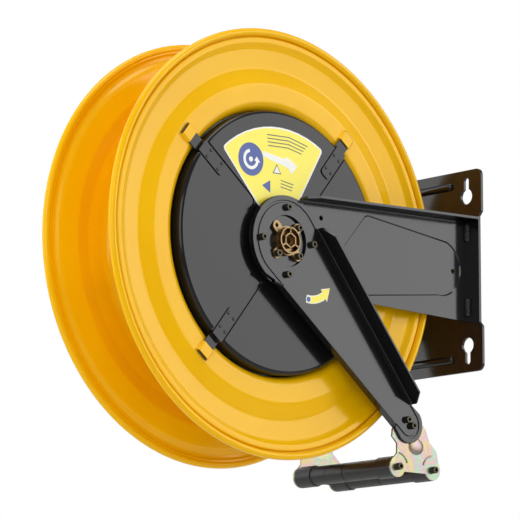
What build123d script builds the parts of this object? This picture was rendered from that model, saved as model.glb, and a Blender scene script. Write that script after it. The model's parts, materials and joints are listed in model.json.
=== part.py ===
"""Wall-mounted spring-rewind hose reel: an open drum between two pressed arms, with a swinging roller guide.

Frame: origin at the centre of the wall plate's back face, +X into the wall, +Z up, +Y along the drum
axis. The front (spring) side faces -Y and the rear (fluid) side faces +Y. All sizes are in millimetres.
"""
from build123d import *
from math import asin, cos, radians, sin, sqrt
import os

os.makedirs("parts", exist_ok=True)

# ---------------------------------------------------------------- driving dimensions
FLANGE_R = 265.0            # drum flange, outside radius
AXIS_X = -320.0             # drum axis, measured from the wall
DRUM_FRONT_Y = -75.5        # outermost plane of the front flange's rolled rim
DRUM_WIDTH = 132.0          # rolled rim to rolled rim
CORE_R = 165.0              # outside of the winding core
SHEET_DRUM = 2.0            # drum sheet thickness
RIM_R = 4.7                 # radius of the rolled rim
FLAT_Y = 4.5                # depth of the flange's flat below the rim plane
DISH_Y = 10.5               # depth of the pressed dish below the rim plane
DISH_R = (196.0, 217.0, 241.0, 247.0)   # where the dish starts, bottoms, ends, and the rim land starts
CORE_FILLET = 12.0          # press radius between core and flange, on the winding side

COVER_R = 162.4             # end covers
COVER_PROUD = 3.5           # cover face in front of the rim plane
COVER_SHEET = 2.0
CHANNEL_W = 22.0            # radial channels pressed into the covers
CHANNEL_DEPTH = 1.5
CHANNEL_IN_R = 60.0

SHEET = 3.0                 # arm sheet thickness
ARM_BACK_Y = 84.5           # inner face of the frame arms, either side of the middle
HEAD_R = 56.5               # round head of the frame arms
ARM_END_HALF = 66.0         # half height of a frame arm at the wall plate
ARM_FLANGE_DEPTH = 28.0     # top flange of a frame arm
ARM_FLANGE_START = 26.0     # where that flange starts, past the drum axis
PANEL_DEPTH = 1.6           # recess of the pressed panel
ARM_GAP = 0.5               # running gap between frame arm and guide arm

PLATE_T = 4.0
PLATE_HALF_Y = 113.0        # wall plate tabs
PLATE_WAIST_Y = 108.0       # wall plate between the tabs
PLATE_HALF_Z = 130.0
PLATE_NOTCH_Z = 72.0
PLATE_CORNER_R = 9.0
KEY_Y = 87.0                # keyhole positions, half spacings
KEY_Z = 96.0
KEY_ENTRY_R = 10.0          # entry circle for the anchor's head
KEY_SLOT_R = 4.25           # slot for an 8 mm anchor
KEY_SLOT_LEN = 20.0         # entry centre to slot end centre

GUIDE_LEN = 292.0           # guide arm, axis to end centre
GUIDE_HEAD_R = 56.0
GUIDE_END_R = 23.5
GUIDE_ANGLE = -45.0         # at rest, measured from +X towards +Z
GUIDE_HOLE_R = 31.5
GUIDE_DEEP = 24.5           # flange on the side towards the wall
GUIDE_SHALLOW = 13.0        # flange on the side away from the wall
CLAMP_R = 41.4              # circle of the guide arm's clamp screws
SWING_BACK = 15.0           # guide arm swing towards the wall, degrees
SWING_OUT = 50.0            # guide arm swing away from the wall, degrees

ROLLER_AXES = ((189.0, -260.0), (250.5, -260.0))   # from the drum axis
ROLLER_R = 12.0
ROLLER_END_R = 13.5
ROLLER_END_LEN = 27.0
AXLE_R = 6.0
BRACKET_T = 2.5
LOBE_R = 13.0

ARBOR_R = 14.0              # spring arbor shaft
FLUID_R = 12.0              # fluid shaft
RUN = 0.05                  # running clearance, on the radius

M5_HEAD_R, M5_HEAD_H, M5_SHANK_R = 4.25, 5.0, 2.45
M6_HEAD_R, M6_HEAD_H, M6_SHANK_R = 5.0, 6.0, 2.95

CLIP_ANGLES = (51, 141, 231, 321)       # retainers and channels, as the drum stands at rest
RIVET_PLACES = ((128.0, -1), (128.0, 1), (150.0, -1), (150.0, 1))   # radius and side of each rivet
EAR_R, EAR_ANGLE = 24.5, 45             # screws that hold the arbor and the swivel
QUARTERS = (0, 90, 180, 270)
ARBOR_SCREWED = (0, 180, 270)           # the arbor's fourth ear has no screw
ARBOR_EAR_T, SWIVEL_EAR_T = 4.0, 5.0    # thickness of the ears

CASE_BACK_Y = -18.0         # back wall of the spring case
SPRING_T = 1.2              # main spring strip
SPRING_PITCH = 7.2          # spring pitch when unwound against the case
SPRING_Y = (-66.0, -22.0)   # the strip's two edges
RATCHET_R = 52.0
RATCHET_TEETH = 16
RATCHET_T = 4.0
PAWL_PIVOT = (92.0, 34.0)   # from the drum axis
PAWL_PARKED = 5.0           # gap between the parked pawl and the teeth
INLET_R = 10.5              # inlet thread, minor radius
OUTLET_R = 9.3              # hose outlet thread, minor radius
OUTLET_ANGLE = 200.0        # where the hose outlet stands on the core at rest
OUTLET_Y = 20.0             # and its place across the drum
BRACKET_SCREWS = ((202.5, -201.0), (211.0, -208.0))   # from the drum axis

# ---------------------------------------------------------------- derived places
DRUM_REAR_Y = DRUM_FRONT_Y + DRUM_WIDTH
DRUM_MID_Y = (DRUM_FRONT_Y + DRUM_REAR_Y) / 2
COVER_FRONT_Y = DRUM_FRONT_Y - COVER_PROUD
COVER_REAR_Y = DRUM_REAR_Y + COVER_PROUD
ARM_FACE_Y = ARM_BACK_Y + SHEET
GUIDE_BACK_Y = ARM_FACE_Y + ARM_GAP
GUIDE_FACE_Y = GUIDE_BACK_Y + SHEET
BRACKET_IN_Y = GUIDE_BACK_Y - BRACKET_T
PLATE_FRONT_X = -PLATE_T
ARM_LEN = PLATE_FRONT_X - AXIS_X


# ---------------------------------------------------------------- helpers
def slab(sketch, y_low, y_high):
    """Extrude a sketch drawn in X and Z between two Y planes."""
    return extrude(Plane.XZ.offset(-y_high) * sketch, amount=y_high - y_low, dir=(0, -1, 0))


def at_axis(shape):
    """Move something drawn about the origin to the drum axis."""
    return Pos(AXIS_X, 0, 0) * shape


def disc(radius, y_low, y_high, x=0.0, z=0.0):
    """A solid cylinder along Y."""
    return slab(Pos(x, z) * Circle(radius), y_low, y_high)


def ring(r_in, r_out, y_low, y_high, x=0.0, z=0.0):
    """A tube along Y."""
    return disc(r_out, y_low, y_high, x, z) - disc(r_in, y_low - 1, y_high + 1, x, z)


def polar(radius, angle):
    """X and Z of a point on a circle about the drum axis."""
    return radius * cos(radians(angle)), radius * sin(radians(angle))


def to_rear(shape):
    """The mirror image on the other side of the reel."""
    return mirror(shape, about=Plane.XZ)


def arm_outline(length, r_head, r_end):
    """Two circles and their common tangents, along +X."""
    lean = asin((r_head - r_end) / length)
    head = (r_head * sin(lean), r_head * cos(lean))
    end = (length + r_end * sin(lean), r_end * cos(lean))
    body = Polygon(head, end, (end[0], -end[1]), (head[0], -head[1]), align=None)
    return body + Circle(r_head) + Pos(length, 0) * Circle(r_end)


def cap_screw(x, z, seat_y, head_r, head_h, shank_r, length):
    """A socket head cap screw whose head stands on the -Y side of seat_y."""
    head = disc(head_r, seat_y - head_h, seat_y, x, z)
    edge = head.edges().filter_by(GeomType.CIRCLE).sort_by(Axis.Y)[0]
    head = chamfer(edge, 0.5)
    socket = slab(Pos(x, z) * RegularPolygon(head_r * 0.55, 6), seat_y - head_h - 1, seat_y - head_h / 2)
    return head - socket + disc(shank_r, seat_y, seat_y + length, x, z)


def write(name, shape):
    """Save one node, as one solid or as a group of like solids."""
    solids = shape.solids()
    export_step(solids[0] if len(solids) == 1 else Compound(solids), f"parts/{name}.step")


def group(shapes):
    """Join separate like pieces into one node."""
    return Compound([solid for shape in shapes for solid in shape.solids()])


# ---------------------------------------------------------------- wall plate
def keyhole(y, z):
    """Entry circle with a slot that runs away from the plate's middle."""
    side = 1 if z > 0 else -1
    slot_end = z + side * KEY_SLOT_LEN
    slot = Pos(y, (z + slot_end) / 2) * Rectangle(2 * KEY_SLOT_R, abs(slot_end - z))
    return Pos(y, z) * Circle(KEY_ENTRY_R) + slot + Pos(y, slot_end) * Circle(KEY_SLOT_R)


def wall_plate():
    tab_height = PLATE_HALF_Z - PLATE_NOTCH_Z
    tab_middle = (PLATE_HALF_Z + PLATE_NOTCH_Z) / 2
    outline = Rectangle(2 * PLATE_WAIST_Y, 2 * PLATE_HALF_Z - 2 * PLATE_CORNER_R)
    for side in (-1, 1):
        outline += Pos(0, side * tab_middle) * RectangleRounded(2 * PLATE_HALF_Y, tab_height, PLATE_CORNER_R)
    for y in (-KEY_Y, KEY_Y):
        for z in (-KEY_Z, KEY_Z):
            outline -= keyhole(y, z)
    plate = extrude(Plane.YZ.offset(-PLATE_T) * outline, amount=PLATE_T, dir=(1, 0, 0))
    rib_half, rib_z, rib_r = 58.0, 112.0, 5.0
    for side in (-1, 1):
        rib = Pos(-PLATE_T, 0, side * rib_z) * Rot(90, 0, 0) * Cylinder(rib_r, 2 * rib_half)
        for end in (-1, 1):
            rib += Pos(-PLATE_T, end * rib_half, side * rib_z) * Sphere(rib_r)
        plate += rib & Pos(-PLATE_T - 4, 0, 0) * Box(8, 4 * rib_half, 2 * PLATE_HALF_Z)
    return plate


# ---------------------------------------------------------------- frame arms
def arc_slot(angle):
    """Slot in the arm's head that one clamp screw travels along as the guide arm swings."""
    width = 2 * (M5_SHANK_R + 0.6)
    spare = 0.5
    first, last = angle + SWING_BACK + spare, angle - SWING_OUT - spare
    return SlotArc(CenterArc((0, 0), CLAMP_R, last, first - last), width)


def panel_outline():
    """Pressed panel: a blunt left edge, leaning top and bottom edges, and a round end near the wall."""
    end_x, end_z, end_r = 268.0, -1.5, 36.0
    lean = radians(12.0)
    upper_tangent = (end_x + end_r * sin(lean), end_z + end_r * cos(lean))
    lower_tangent = (end_x - 4.0, end_z - end_r)
    body = Polygon((97.0, 4.0), (137.0, 50.5), upper_tangent, lower_tangent, (110.0, -55.0), align=None)
    sketch = body + Pos(end_x, end_z) * Circle(end_r)
    sharp = sketch.vertices().sort_by(Axis.X)[0:3]
    return fillet(sharp, 4.0)


def frame_arm():
    """Front frame arm: web with a round head and a top flange turned outwards."""
    y_out, y_in = -ARM_FACE_Y, -ARM_BACK_Y
    lean = asin((ARM_END_HALF - HEAD_R) / ARM_LEN)
    head = (-HEAD_R * sin(lean), HEAD_R * cos(lean))
    body = Polygon(
        head, (ARM_LEN, ARM_END_HALF), (ARM_LEN, -ARM_END_HALF), (head[0], -head[1]), align=None
    )
    web = slab(body + Circle(HEAD_R), y_out, y_in)
    start = (ARM_FLANGE_START, HEAD_R + (ARM_FLANGE_START - head[0]) * sin(lean))
    run = ARM_LEN - ARM_FLANGE_START
    strip_end = PLATE_WAIST_Y - ARM_BACK_Y
    side = Plane(
        origin=(start[0], y_in, start[1]),
        x_dir=(cos(lean), 0, sin(lean)),
        z_dir=(sin(lean), 0, -cos(lean)),
    )
    edge = Polygon(
        (0, 0), (run, 0), (run, strip_end), (run - 14, ARM_FLANGE_DEPTH),
        (12, ARM_FLANGE_DEPTH), (0, ARM_FLANGE_DEPTH - 12), align=None,
    )
    flange = extrude(side * edge, amount=SHEET, dir=side.z_dir)
    arm = web + flange
    panel = Plane.XZ.offset(ARM_FACE_Y) * panel_outline()
    arm -= extrude(panel, amount=PANEL_DEPTH, dir=(0, 1, 0))
    arm -= disc(ARBOR_R + 0.3, y_out - 1, y_in + 1)
    for angle in QUARTERS:
        arm -= slab(arc_slot(angle), y_out - 1, y_in + 1)
        x, z = polar(EAR_R, EAR_ANGLE + angle)
        arm -= disc(M5_SHANK_R + RUN, y_out - 1, y_in + 1, x, z)
    for x, z in ((60.0, 36.0), (291.0, -3.5)):
        arm -= disc(3.2, y_out - 1, y_in + 1, x, z)
    return arm


def weld_bead(z_middle, length, side):
    """A fillet weld in the corner between a frame arm and the wall plate."""
    leg = 4.5
    corner = (PLATE_FRONT_X, -side * ARM_FACE_Y)
    section = Polygon((0, 0), (-leg, 0), (0, -side * leg), align=None)
    plane = Plane(origin=(corner[0], corner[1], z_middle - length / 2), x_dir=(1, 0, 0), z_dir=(0, 0, 1))
    return extrude(plane * section, amount=length, dir=(0, 0, 1))


# ---------------------------------------------------------------- drum
def rim_profile():
    """Half section of a flange, (radius, depth) from the rolled rim's outer plane, front face first."""
    r_dish, r_low, r_rise, r_land = DISH_R
    t = SHEET_DRUM
    land = RIM_R - t / 2
    r_join = FLANGE_R - 2 * RIM_R + 0.6
    inside = CORE_R - t
    f_out, f_in = CORE_FILLET + t, CORE_FILLET
    front = [(inside + f_out, FLAT_Y), (r_dish, FLAT_Y), (r_low, DISH_Y), (r_rise, DISH_Y - 3.0), (r_land, land)]
    back = [(r, y + t) for r, y in reversed(front[1:])] + [(CORE_R + f_in, FLAT_Y + t)]
    return front + [(r_join, land), (r_join, land + t)] + back


def rim():
    """Rolled rim of the front flange, drawn solid because a wire is rolled into it."""
    bead = revolve(Pos(FLANGE_R - RIM_R, RIM_R) * Circle(RIM_R), axis=Axis.Y)
    return Pos(0, DRUM_FRONT_Y, 0) * bead


def flange():
    """Front flange: pressed dish and the press radius that leads into the core."""
    t = SHEET_DRUM
    inside = CORE_R - t
    f_out, f_in = CORE_FILLET + t, CORE_FILLET
    pts = rim_profile()
    first, last = pts[0], pts[-1]
    end_y = FLAT_Y + f_out
    half = sqrt(0.5)
    with BuildPart() as part:
        with BuildSketch(Plane.XY):
            with BuildLine():
                Polyline(pts)
                ThreePointArc(
                    last, (CORE_R + f_in * (1 - half), FLAT_Y + t + f_in * (1 - half)), (CORE_R, end_y)
                )
                Line((CORE_R, end_y), (inside, end_y))
                ThreePointArc(
                    (inside, end_y), (inside + f_out * (1 - half), FLAT_Y + f_out * (1 - half)), first
                )
            make_face()
        revolve(axis=Axis.Y)
    return Pos(0, DRUM_FRONT_Y, 0) * part.part - rim()


def clip_hook(angle):
    """Lanced bridge on the flange that a retainer hooks under, drawn at the given angle."""
    flat = DRUM_FRONT_Y + FLAT_Y
    r_in, r_out, half, rise = 178.0, 192.0, 10.0, 5.0
    top = Pos((r_in + r_out) / 2, 0) * Rectangle(r_out - r_in, 2 * half)
    bridge = slab(top, flat - rise, flat - rise + 1.6)
    for side in (-1, 1):
        foot = Pos((r_in + r_out) / 2, side * (half - 0.8)) * Rectangle(r_out - r_in, 1.6)
        bridge += slab(foot, flat - rise, flat + 0.5)
    opening = slab(Pos(r_out, 0) * Circle(9.0) & Pos(r_out + 5, 0) * Rectangle(10, 20), flat - 2, flat + 5)
    return Rot(0, -angle, 0) * bridge, Rot(0, -angle, 0) * opening


def front_flange():
    body = flange()
    for angle in CLIP_ANGLES:
        bridge, opening = clip_hook(angle)
        body = body + bridge - opening
    return body


def cover(hub_r):
    """Front end cover: a pan with a rounded edge and four shallow radial channels."""
    y0 = COVER_FRONT_Y
    depth = 16.0
    outer = disc(COVER_R, y0, y0 + depth)
    outer = fillet(outer.edges().filter_by(GeomType.CIRCLE).sort_by(Axis.Y)[0], 5.0)
    inner = disc(COVER_R - COVER_SHEET, y0 + COVER_SHEET + CHANNEL_DEPTH, y0 + depth + 1)
    inner = fillet(inner.edges().filter_by(GeomType.CIRCLE).sort_by(Axis.Y)[0], 3.0)
    pan = outer - inner
    for angle in CLIP_ANGLES:
        length = COVER_R - CHANNEL_IN_R + 5
        channel = Pos(CHANNEL_IN_R + length / 2, 0) * Rectangle(length, CHANNEL_W)
        pan -= Rot(0, -angle, 0) * slab(channel, y0 - 1, y0 + CHANNEL_DEPTH)
    return pan - disc(hub_r, y0 - 1, y0 + depth)


def retainer(angle):
    """Plate riveted into a channel, whose bent outer end hooks under the flange's bridge."""
    seat = COVER_FRONT_Y + CHANNEL_DEPTH
    thick, half, r_in, r_out, tip = 1.5, 8.5, 118.0, 163.9, 184.0
    plate_sketch = Pos((r_in + r_out) / 2, 0) * Rectangle(r_out - r_in, 2 * half)
    plate_sketch = fillet(plate_sketch.vertices().group_by(Axis.X)[0], 5.0)
    body = slab(plate_sketch, seat - thick, seat)
    tongue_y = DRUM_FRONT_Y + FLAT_Y - 2.8
    step = Pos(r_out - 0.6, 0) * Rectangle(1.2, 2 * half)
    body += slab(step, seat - thick, tongue_y + thick)
    tongue = Pos((r_out + tip) / 2 - 0.6, 0) * Rectangle(tip - r_out + 1.2, 2 * half - 3)
    body += slab(tongue, tongue_y, tongue_y + thick)
    for r, side in RIVET_PLACES:
        body -= disc(1.6, seat - thick - 1, seat + 1, r, side * 5.0)
    return Rot(0, -angle, 0) * body


def rivets(angle):
    """Four small rivets of one retainer."""
    seat = COVER_FRONT_Y + CHANNEL_DEPTH
    pieces = []
    for r, side in RIVET_PLACES:
        rivet = disc(1.6, seat - 1.5, seat, r, side * 5.0) + disc(2.3, seat - 2.2, seat - 1.5, r, side * 5.0)
        pieces.append(Rot(0, -angle, 0) * rivet)
    return pieces


def to_rear_of_drum(shape):
    """The mirror image about the drum's own middle plane."""
    return mirror(shape, about=Plane.XZ.offset(-DRUM_MID_Y))


# ---------------------------------------------------------------- spring, bearings and fluid side
def main_spring():
    """Flat spiral strip made of half turns, each a little wider than the one inside it."""
    step = SPRING_PITCH / 2
    radius, turns = 34.0, []
    side = 1
    centre = 0.0
    while radius + step + SPRING_T < 144.0:
        half_plane = Pos(0, side * 200) * Rectangle(400, 400)
        band = Circle(radius + SPRING_T) - Circle(radius)
        turns.append(Pos(centre, 0) * (band & half_plane))
        centre = step if centre == 0 else 0.0
        radius += step
        side = -side
    strip = turns[0]
    for turn in turns[1:]:
        strip += turn
    return slab(strip, *SPRING_Y)


def spring_case():
    """Cup behind the front cover that holds the main spring."""
    wall = ring(146.0, 148.0, COVER_FRONT_Y + COVER_SHEET + CHANNEL_DEPTH + 0.2, CASE_BACK_Y)
    back = ring(ARBOR_R + 4, CORE_R - SHEET_DRUM - 0.2, CASE_BACK_Y, CASE_BACK_Y + 2)
    return wall + back


def spring_arbor():
    """Cast arbor: eared flange on the arm, hex socket nose with three webs, and the shaft in the case."""
    seat = -ARM_FACE_Y
    flange_t, nose = ARBOR_EAR_T, 97.5
    body = disc(18.0, seat - flange_t, seat)
    for angle in QUARTERS:
        x, z = polar(EAR_R, EAR_ANGLE + angle)
        body += disc(6.0, seat - flange_t, seat, x, z)
        web = Pos(EAR_R / 2, 0) * Rectangle(EAR_R, 12)
        body += Rot(0, -(EAR_ANGLE + angle), 0) * slab(web, seat - flange_t, seat)
    body += ring(13.0, 16.5, -nose, seat - flange_t)
    hub = disc(8.0, -nose + 0.5, seat - flange_t)
    for angle in (30, 150, 270):
        rib = Pos(10.5, 0) * Rectangle(7, 3.2)
        hub += Rot(0, -angle, 0) * slab(rib, -nose + 0.5, seat - flange_t)
    body += hub
    body += disc(ARBOR_R, seat, CASE_BACK_Y + 2.5)
    body -= slab(RegularPolygon(5.2, 6), -nose - 1, seat)
    for angle in QUARTERS:
        x, z = polar(EAR_R, EAR_ANGLE + angle)
        body -= disc(M5_SHANK_R + RUN, seat - flange_t - 1, seat + 1, x, z)
    slot = Rectangle(3.0, 2 * ARBOR_R + 2)
    return body - slab(slot, SPRING_Y[0], SPRING_Y[1])


def front_bush():
    """Flanged plain bush between the front cover and the arbor."""
    y0 = COVER_FRONT_Y
    return ring(ARBOR_R + RUN, 20.0, y0, y0 + 10) + ring(ARBOR_R + RUN, 26.0, y0 - 1.5, y0)


def inner_bush():
    """Plain bush in the back wall of the spring case."""
    return ring(ARBOR_R + RUN, ARBOR_R + 4, CASE_BACK_Y - 4, CASE_BACK_Y + 2)


def thrust_washer():
    """Washer between the frame arm and the drum's front bush."""
    return ring(ARBOR_R + 0.3, 20.0, -ARM_BACK_Y, COVER_FRONT_Y - 1.5 - 0.4)


def swivel_housing():
    """Cast swivel body on the rear arm, with the inlet thread on the drum axis."""
    seat = ARM_FACE_Y
    body = disc(18.0, seat, seat + 5)
    for angle in QUARTERS:
        x, z = polar(EAR_R, EAR_ANGLE + angle)
        body += disc(6.0, seat, seat + 5, x, z)
        web = Pos(EAR_R / 2, 0) * Rectangle(EAR_R, 12)
        body += Rot(0, -(EAR_ANGLE + angle), 0) * slab(web, seat, seat + 5)
    body += disc(19.0, seat + 5, seat + 34)
    nut = slab(RegularPolygon(20.5, 6), seat + 34, seat + 50)
    body += nut & fillet(disc(20.0, seat + 33, seat + 50).edges().sort_by(Axis.Y)[-1], 2.0)
    body -= disc(FLUID_R + RUN, seat - 1, seat + 30)
    body -= disc(8.0, seat + 29, seat + 36)
    body -= disc(INLET_R, seat + 35, seat + 51)
    for angle in QUARTERS:
        x, z = polar(EAR_R, EAR_ANGLE + angle)
        body -= disc(M5_SHANK_R + RUN, seat - 1, seat + 6, x, z)
    return body


def fluid_shaft():
    """Hollow shaft that carries the rear of the drum and turns in the swivel."""
    hub_in, hub_out = COVER_REAR_Y, COVER_REAR_Y + 5
    tip = ARM_FACE_Y + 29
    body = disc(FLUID_R, hub_out, tip) + disc(30.0, hub_in, hub_out) + disc(14.0, OUTLET_Y - 12, hub_in)
    body -= disc(7.0, OUTLET_Y - 8, tip + 1)
    side_port = Pos(0, OUTLET_Y, 0) * Rot(0, 90 - OUTLET_ANGLE, 0) * Pos(0, 0, 10) * Cylinder(5.6, 20)
    body -= side_port
    for groove_y in (ARM_FACE_Y + 12, ARM_FACE_Y + 21):
        body -= ring(FLUID_R - 1.8, FLUID_R + 1, groove_y, groove_y + 2.6)
    for angle in QUARTERS:
        x, z = polar(22.0, angle + 45)
        body -= disc(M5_SHANK_R + RUN, hub_in - 1, hub_out + 1, x, z)
    return body


def swivel_seals():
    """Two sealing rings in the shaft's grooves."""
    rings = [ring(FLUID_R - 1.7, FLUID_R, y + 0.2, y + 2.4) for y in (ARM_FACE_Y + 12, ARM_FACE_Y + 21)]
    return group(rings)


def ratchet_wheel():
    """Saw-toothed wheel on the rear hub."""
    root = RATCHET_R - 6
    points = []
    for tooth in range(RATCHET_TEETH):
        base = 360.0 * tooth / RATCHET_TEETH
        points.append(polar(RATCHET_R, base))
        points.append(polar(root, base + 1.5))
    wheel = slab(Polygon(*points, align=None), COVER_REAR_Y + 5, COVER_REAR_Y + 5 + RATCHET_T)
    wheel -= disc(FLUID_R + 0.2, COVER_REAR_Y, COVER_REAR_Y + 20)
    for angle in QUARTERS:
        x, z = polar(22.0, angle + 45)
        wheel -= disc(M5_SHANK_R + RUN, COVER_REAR_Y, COVER_REAR_Y + 20, x, z)
        x, z = polar(36.0, angle)
        wheel -= disc(5.0, COVER_REAR_Y, COVER_REAR_Y + 20, x, z)
    return wheel


def hub_screws():
    """Four screws through ratchet wheel, shaft hub and rear cover."""
    seat = COVER_REAR_Y + 5 + RATCHET_T
    screws = []
    for angle in QUARTERS:
        x, z = polar(22.0, angle + 45)
        screw = cap_screw(x, z, -seat, M5_HEAD_R, M5_HEAD_H, M5_SHANK_R, 14)
        screws.append(to_rear(screw))
    return group(screws)


def pawl():
    """Ratchet pawl, parked clear of the teeth, on a pin in the rear arm."""
    y_low = COVER_REAR_Y + 5
    px, pz = PAWL_PIVOT
    tip_r = RATCHET_R + PAWL_PARKED
    tip = polar(tip_r, 42.0)
    heel_a, heel_b = (px - 4.0, pz + 6.5), (px - 6.0, pz - 5.0)
    nose = polar(tip_r + 1.0, 34.0)
    body = Polygon(heel_a, tip, nose, heel_b, align=None) + Pos(px, pz) * Circle(8.0)
    lever = slab(body, y_low, y_low + RATCHET_T)
    lever += ring(4.0 + RUN, 8.0, y_low - 1, y_low + RATCHET_T + 6, px, pz)
    return lever - disc(4.0 + RUN, y_low - 5, y_low + 20, px, pz)


def pawl_pin():
    """Shouldered pin that the pawl turns on, fixed in the rear arm."""
    px, pz = PAWL_PIVOT
    y_low = COVER_REAR_Y + 5
    return disc(4.0, y_low - 1.5, ARM_BACK_Y, px, pz) + disc(7.0, y_low - 3.0, y_low - 1.5, px, pz)


def pawl_spring():
    """Torsion spring round the pawl pin, drawn as its wound body."""
    px, pz = PAWL_PIVOT
    y_low = COVER_REAR_Y + 5 + RATCHET_T + 6.3
    coils = [Pos(px, y_low + 0.6 + i * 1.3, pz) * Rot(90, 0, 0) * Torus(5.6, 0.55) for i in range(4)]
    return group(coils)


def feed_pipe():
    """Pipe from the fluid shaft to the hose outlet on the core."""
    length = CORE_R - 14.0 - 16.0
    pipe = Pos(0, 0, 14.0 + length / 2) * (Cylinder(8.0, length) - Cylinder(6.0, length + 2))
    return Pos(0, OUTLET_Y, 0) * Rot(0, 90 - OUTLET_ANGLE, 0) * pipe


def hose_outlet():
    """Threaded outlet that stands through the core, where the hose is screwed on."""
    start, wall = CORE_R - 16.0, CORE_R
    body = Pos(0, 0, (start + wall + 6) / 2) * Cylinder(12.0, wall + 6 - start)
    body += Pos(0, 0, start + 3) * extrude(RegularPolygon(14.5, 6), amount=6)
    body -= Pos(0, 0, start + 12) * extrude(Circle(OUTLET_R), amount=40)
    body -= Pos(0, 0, start - 1) * extrude(Circle(6.0), amount=30)
    return Pos(0, OUTLET_Y, 0) * Rot(0, 90 - OUTLET_ANGLE, 0) * body


def drum_core():
    """Winding core between the two flanges, with the outlet's hole."""
    ends = FLAT_Y + CORE_FILLET + SHEET_DRUM
    core = ring(CORE_R - SHEET_DRUM, CORE_R, DRUM_FRONT_Y + ends, DRUM_REAR_Y - ends)
    hole = Pos(0, OUTLET_Y, 0) * Rot(0, 90 - OUTLET_ANGLE, 0) * Pos(0, 0, CORE_R) * Cylinder(12.2, 20)
    return core - hole


# ---------------------------------------------------------------- guide arm
def guide_arm():
    """Front guide arm at rest: web, a deep flange, a shallow flange and a pressed rim line."""
    y_out, y_in = -GUIDE_FACE_Y, -GUIDE_BACK_Y
    outline = arm_outline(GUIDE_LEN, GUIDE_HEAD_R, GUIDE_END_R)
    arm = slab(outline, y_out, y_in)
    lean = asin((GUIDE_HEAD_R - GUIDE_END_R) / GUIDE_LEN)
    first, last = 16.0, GUIDE_LEN - 16.0
    for side, depth in ((1, GUIDE_DEEP), (-1, GUIDE_SHALLOW)):
        start_x = first * cos(lean) + GUIDE_HEAD_R * sin(lean)
        start_z = side * (GUIDE_HEAD_R * cos(lean) - first * sin(lean))
        run = last - first
        plane = Plane(
            origin=(start_x, y_in, start_z),
            x_dir=(cos(lean), 0, -side * sin(lean)),
            z_dir=(-sin(lean), 0, -side * cos(lean)),
        )
        cut = depth * 0.6
        deep = side * depth
        edge = Polygon((0, 0), (run, 0), (run, side * (depth - cut)), (run - cut, deep), (cut, deep),
                       (0, side * (depth - cut)), align=None)
        arm += extrude(plane * edge, amount=SHEET, dir=plane.z_dir)
    line_mid, line_w, line_depth = 7.5, 2.0, 0.8
    wide = offset(outline, amount=-(line_mid - line_w / 2))
    narrow = offset(outline, amount=-(line_mid + line_w / 2))
    arm -= slab(wide - narrow, y_out - 1, y_out + line_depth)
    arm -= disc(GUIDE_HOLE_R, y_out - 1, y_in + 1)
    arm = Rot(0, -GUIDE_ANGLE, 0) * arm
    for angle in QUARTERS:
        x, z = polar(CLAMP_R, angle)
        arm -= disc(M5_SHANK_R + RUN, y_out - 1, y_in + 1, x, z)
    for x, z in BRACKET_SCREWS:
        arm -= disc(M5_SHANK_R + RUN, y_out - 1, y_in + 1, x, z)
    return arm


def clamp_ring():
    """Ring behind the frame arm's head that the clamp screws pull against."""
    front = -ARM_BACK_Y + 0.3
    body = ring(CLAMP_R - 6.4, CLAMP_R + 6.4, front, front + SHEET)
    for angle in QUARTERS:
        x, z = polar(CLAMP_R, angle)
        body -= disc(M5_SHANK_R + RUN, front - 1, front + SHEET + 1, x, z)
    return body


def clamp_screws():
    """Four socket screws through guide arm, frame arm slot and clamp ring."""
    grip = GUIDE_FACE_Y - ARM_BACK_Y + 0.3 + SHEET
    return group([cap_screw(*polar(CLAMP_R, a), -GUIDE_FACE_Y, M5_HEAD_R, M5_HEAD_H, M5_SHANK_R, grip)
                  for a in QUARTERS])


def eared_screws(seat_gap, angles):
    """Short screws that hold the arbor or the swivel to its arm by its ears."""
    return group([cap_screw(*polar(EAR_R, EAR_ANGLE + a), -(ARM_FACE_Y + seat_gap), M5_HEAD_R, M5_HEAD_H,
                            M5_SHANK_R, seat_gap + SHEET + 1) for a in angles])


def roller_bracket():
    """Stamped plate under the guide arm's end, with a lobe for each roller."""
    (x_a, z_a), (x_b, z_b) = ROLLER_AXES
    body = Polygon(
        (181.0, -214.0), (180.0, -223.0), (188.5, -231.0), (188.5, -243.0), (x_a - 11.5, z_a + 6),
        (x_a, z_a - 6), (x_a + 12, z_a - 5.5), (x_b - 12, z_b - 5.5), (x_b, z_b - 6),
        (x_b + 11.5, z_b + 6), (257.0, -236.0), (245.0, -226.0), (239.0, -211.0), (228.0, -200.0),
        (190.0, -196.0), align=None,
    )
    body = body + Pos(x_a, z_a) * Circle(LOBE_R) + Pos(x_b, z_b) * Circle(LOBE_R)
    plate = slab(body, -GUIDE_BACK_Y, -BRACKET_IN_Y)
    for x, z in ROLLER_AXES:
        plate -= disc(M6_SHANK_R + RUN, -GUIDE_BACK_Y - 1, -BRACKET_IN_Y + 1, x, z)
    for x, z in BRACKET_SCREWS:
        plate -= disc(M5_SHANK_R + RUN, -GUIDE_BACK_Y - 1, -BRACKET_IN_Y + 1, x, z)
    return plate


def bracket_screws():
    """Two screws that hold a roller bracket to the end of its guide arm."""
    return group([cap_screw(x, z, -GUIDE_FACE_Y, M5_HEAD_R, M5_HEAD_H, M5_SHANK_R, SHEET + BRACKET_T + 4)
                  for x, z in BRACKET_SCREWS])


def axle_screws():
    """Two screws into the ends of the roller axles."""
    return group([cap_screw(x, z, -GUIDE_BACK_Y, M6_HEAD_R - 0.6, M6_HEAD_H, M6_SHANK_R, BRACKET_T + 10)
                  for x, z in ROLLER_AXES])


def roller_axle(x, z):
    """Steel axle between the brackets, tapped at both ends."""
    half = BRACKET_IN_Y
    axle = disc(AXLE_R, -half, half, x, z)
    for start in (-half, half - 12):
        axle -= disc(M6_SHANK_R + RUN, start, start + 12, x, z)
    return axle


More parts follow.
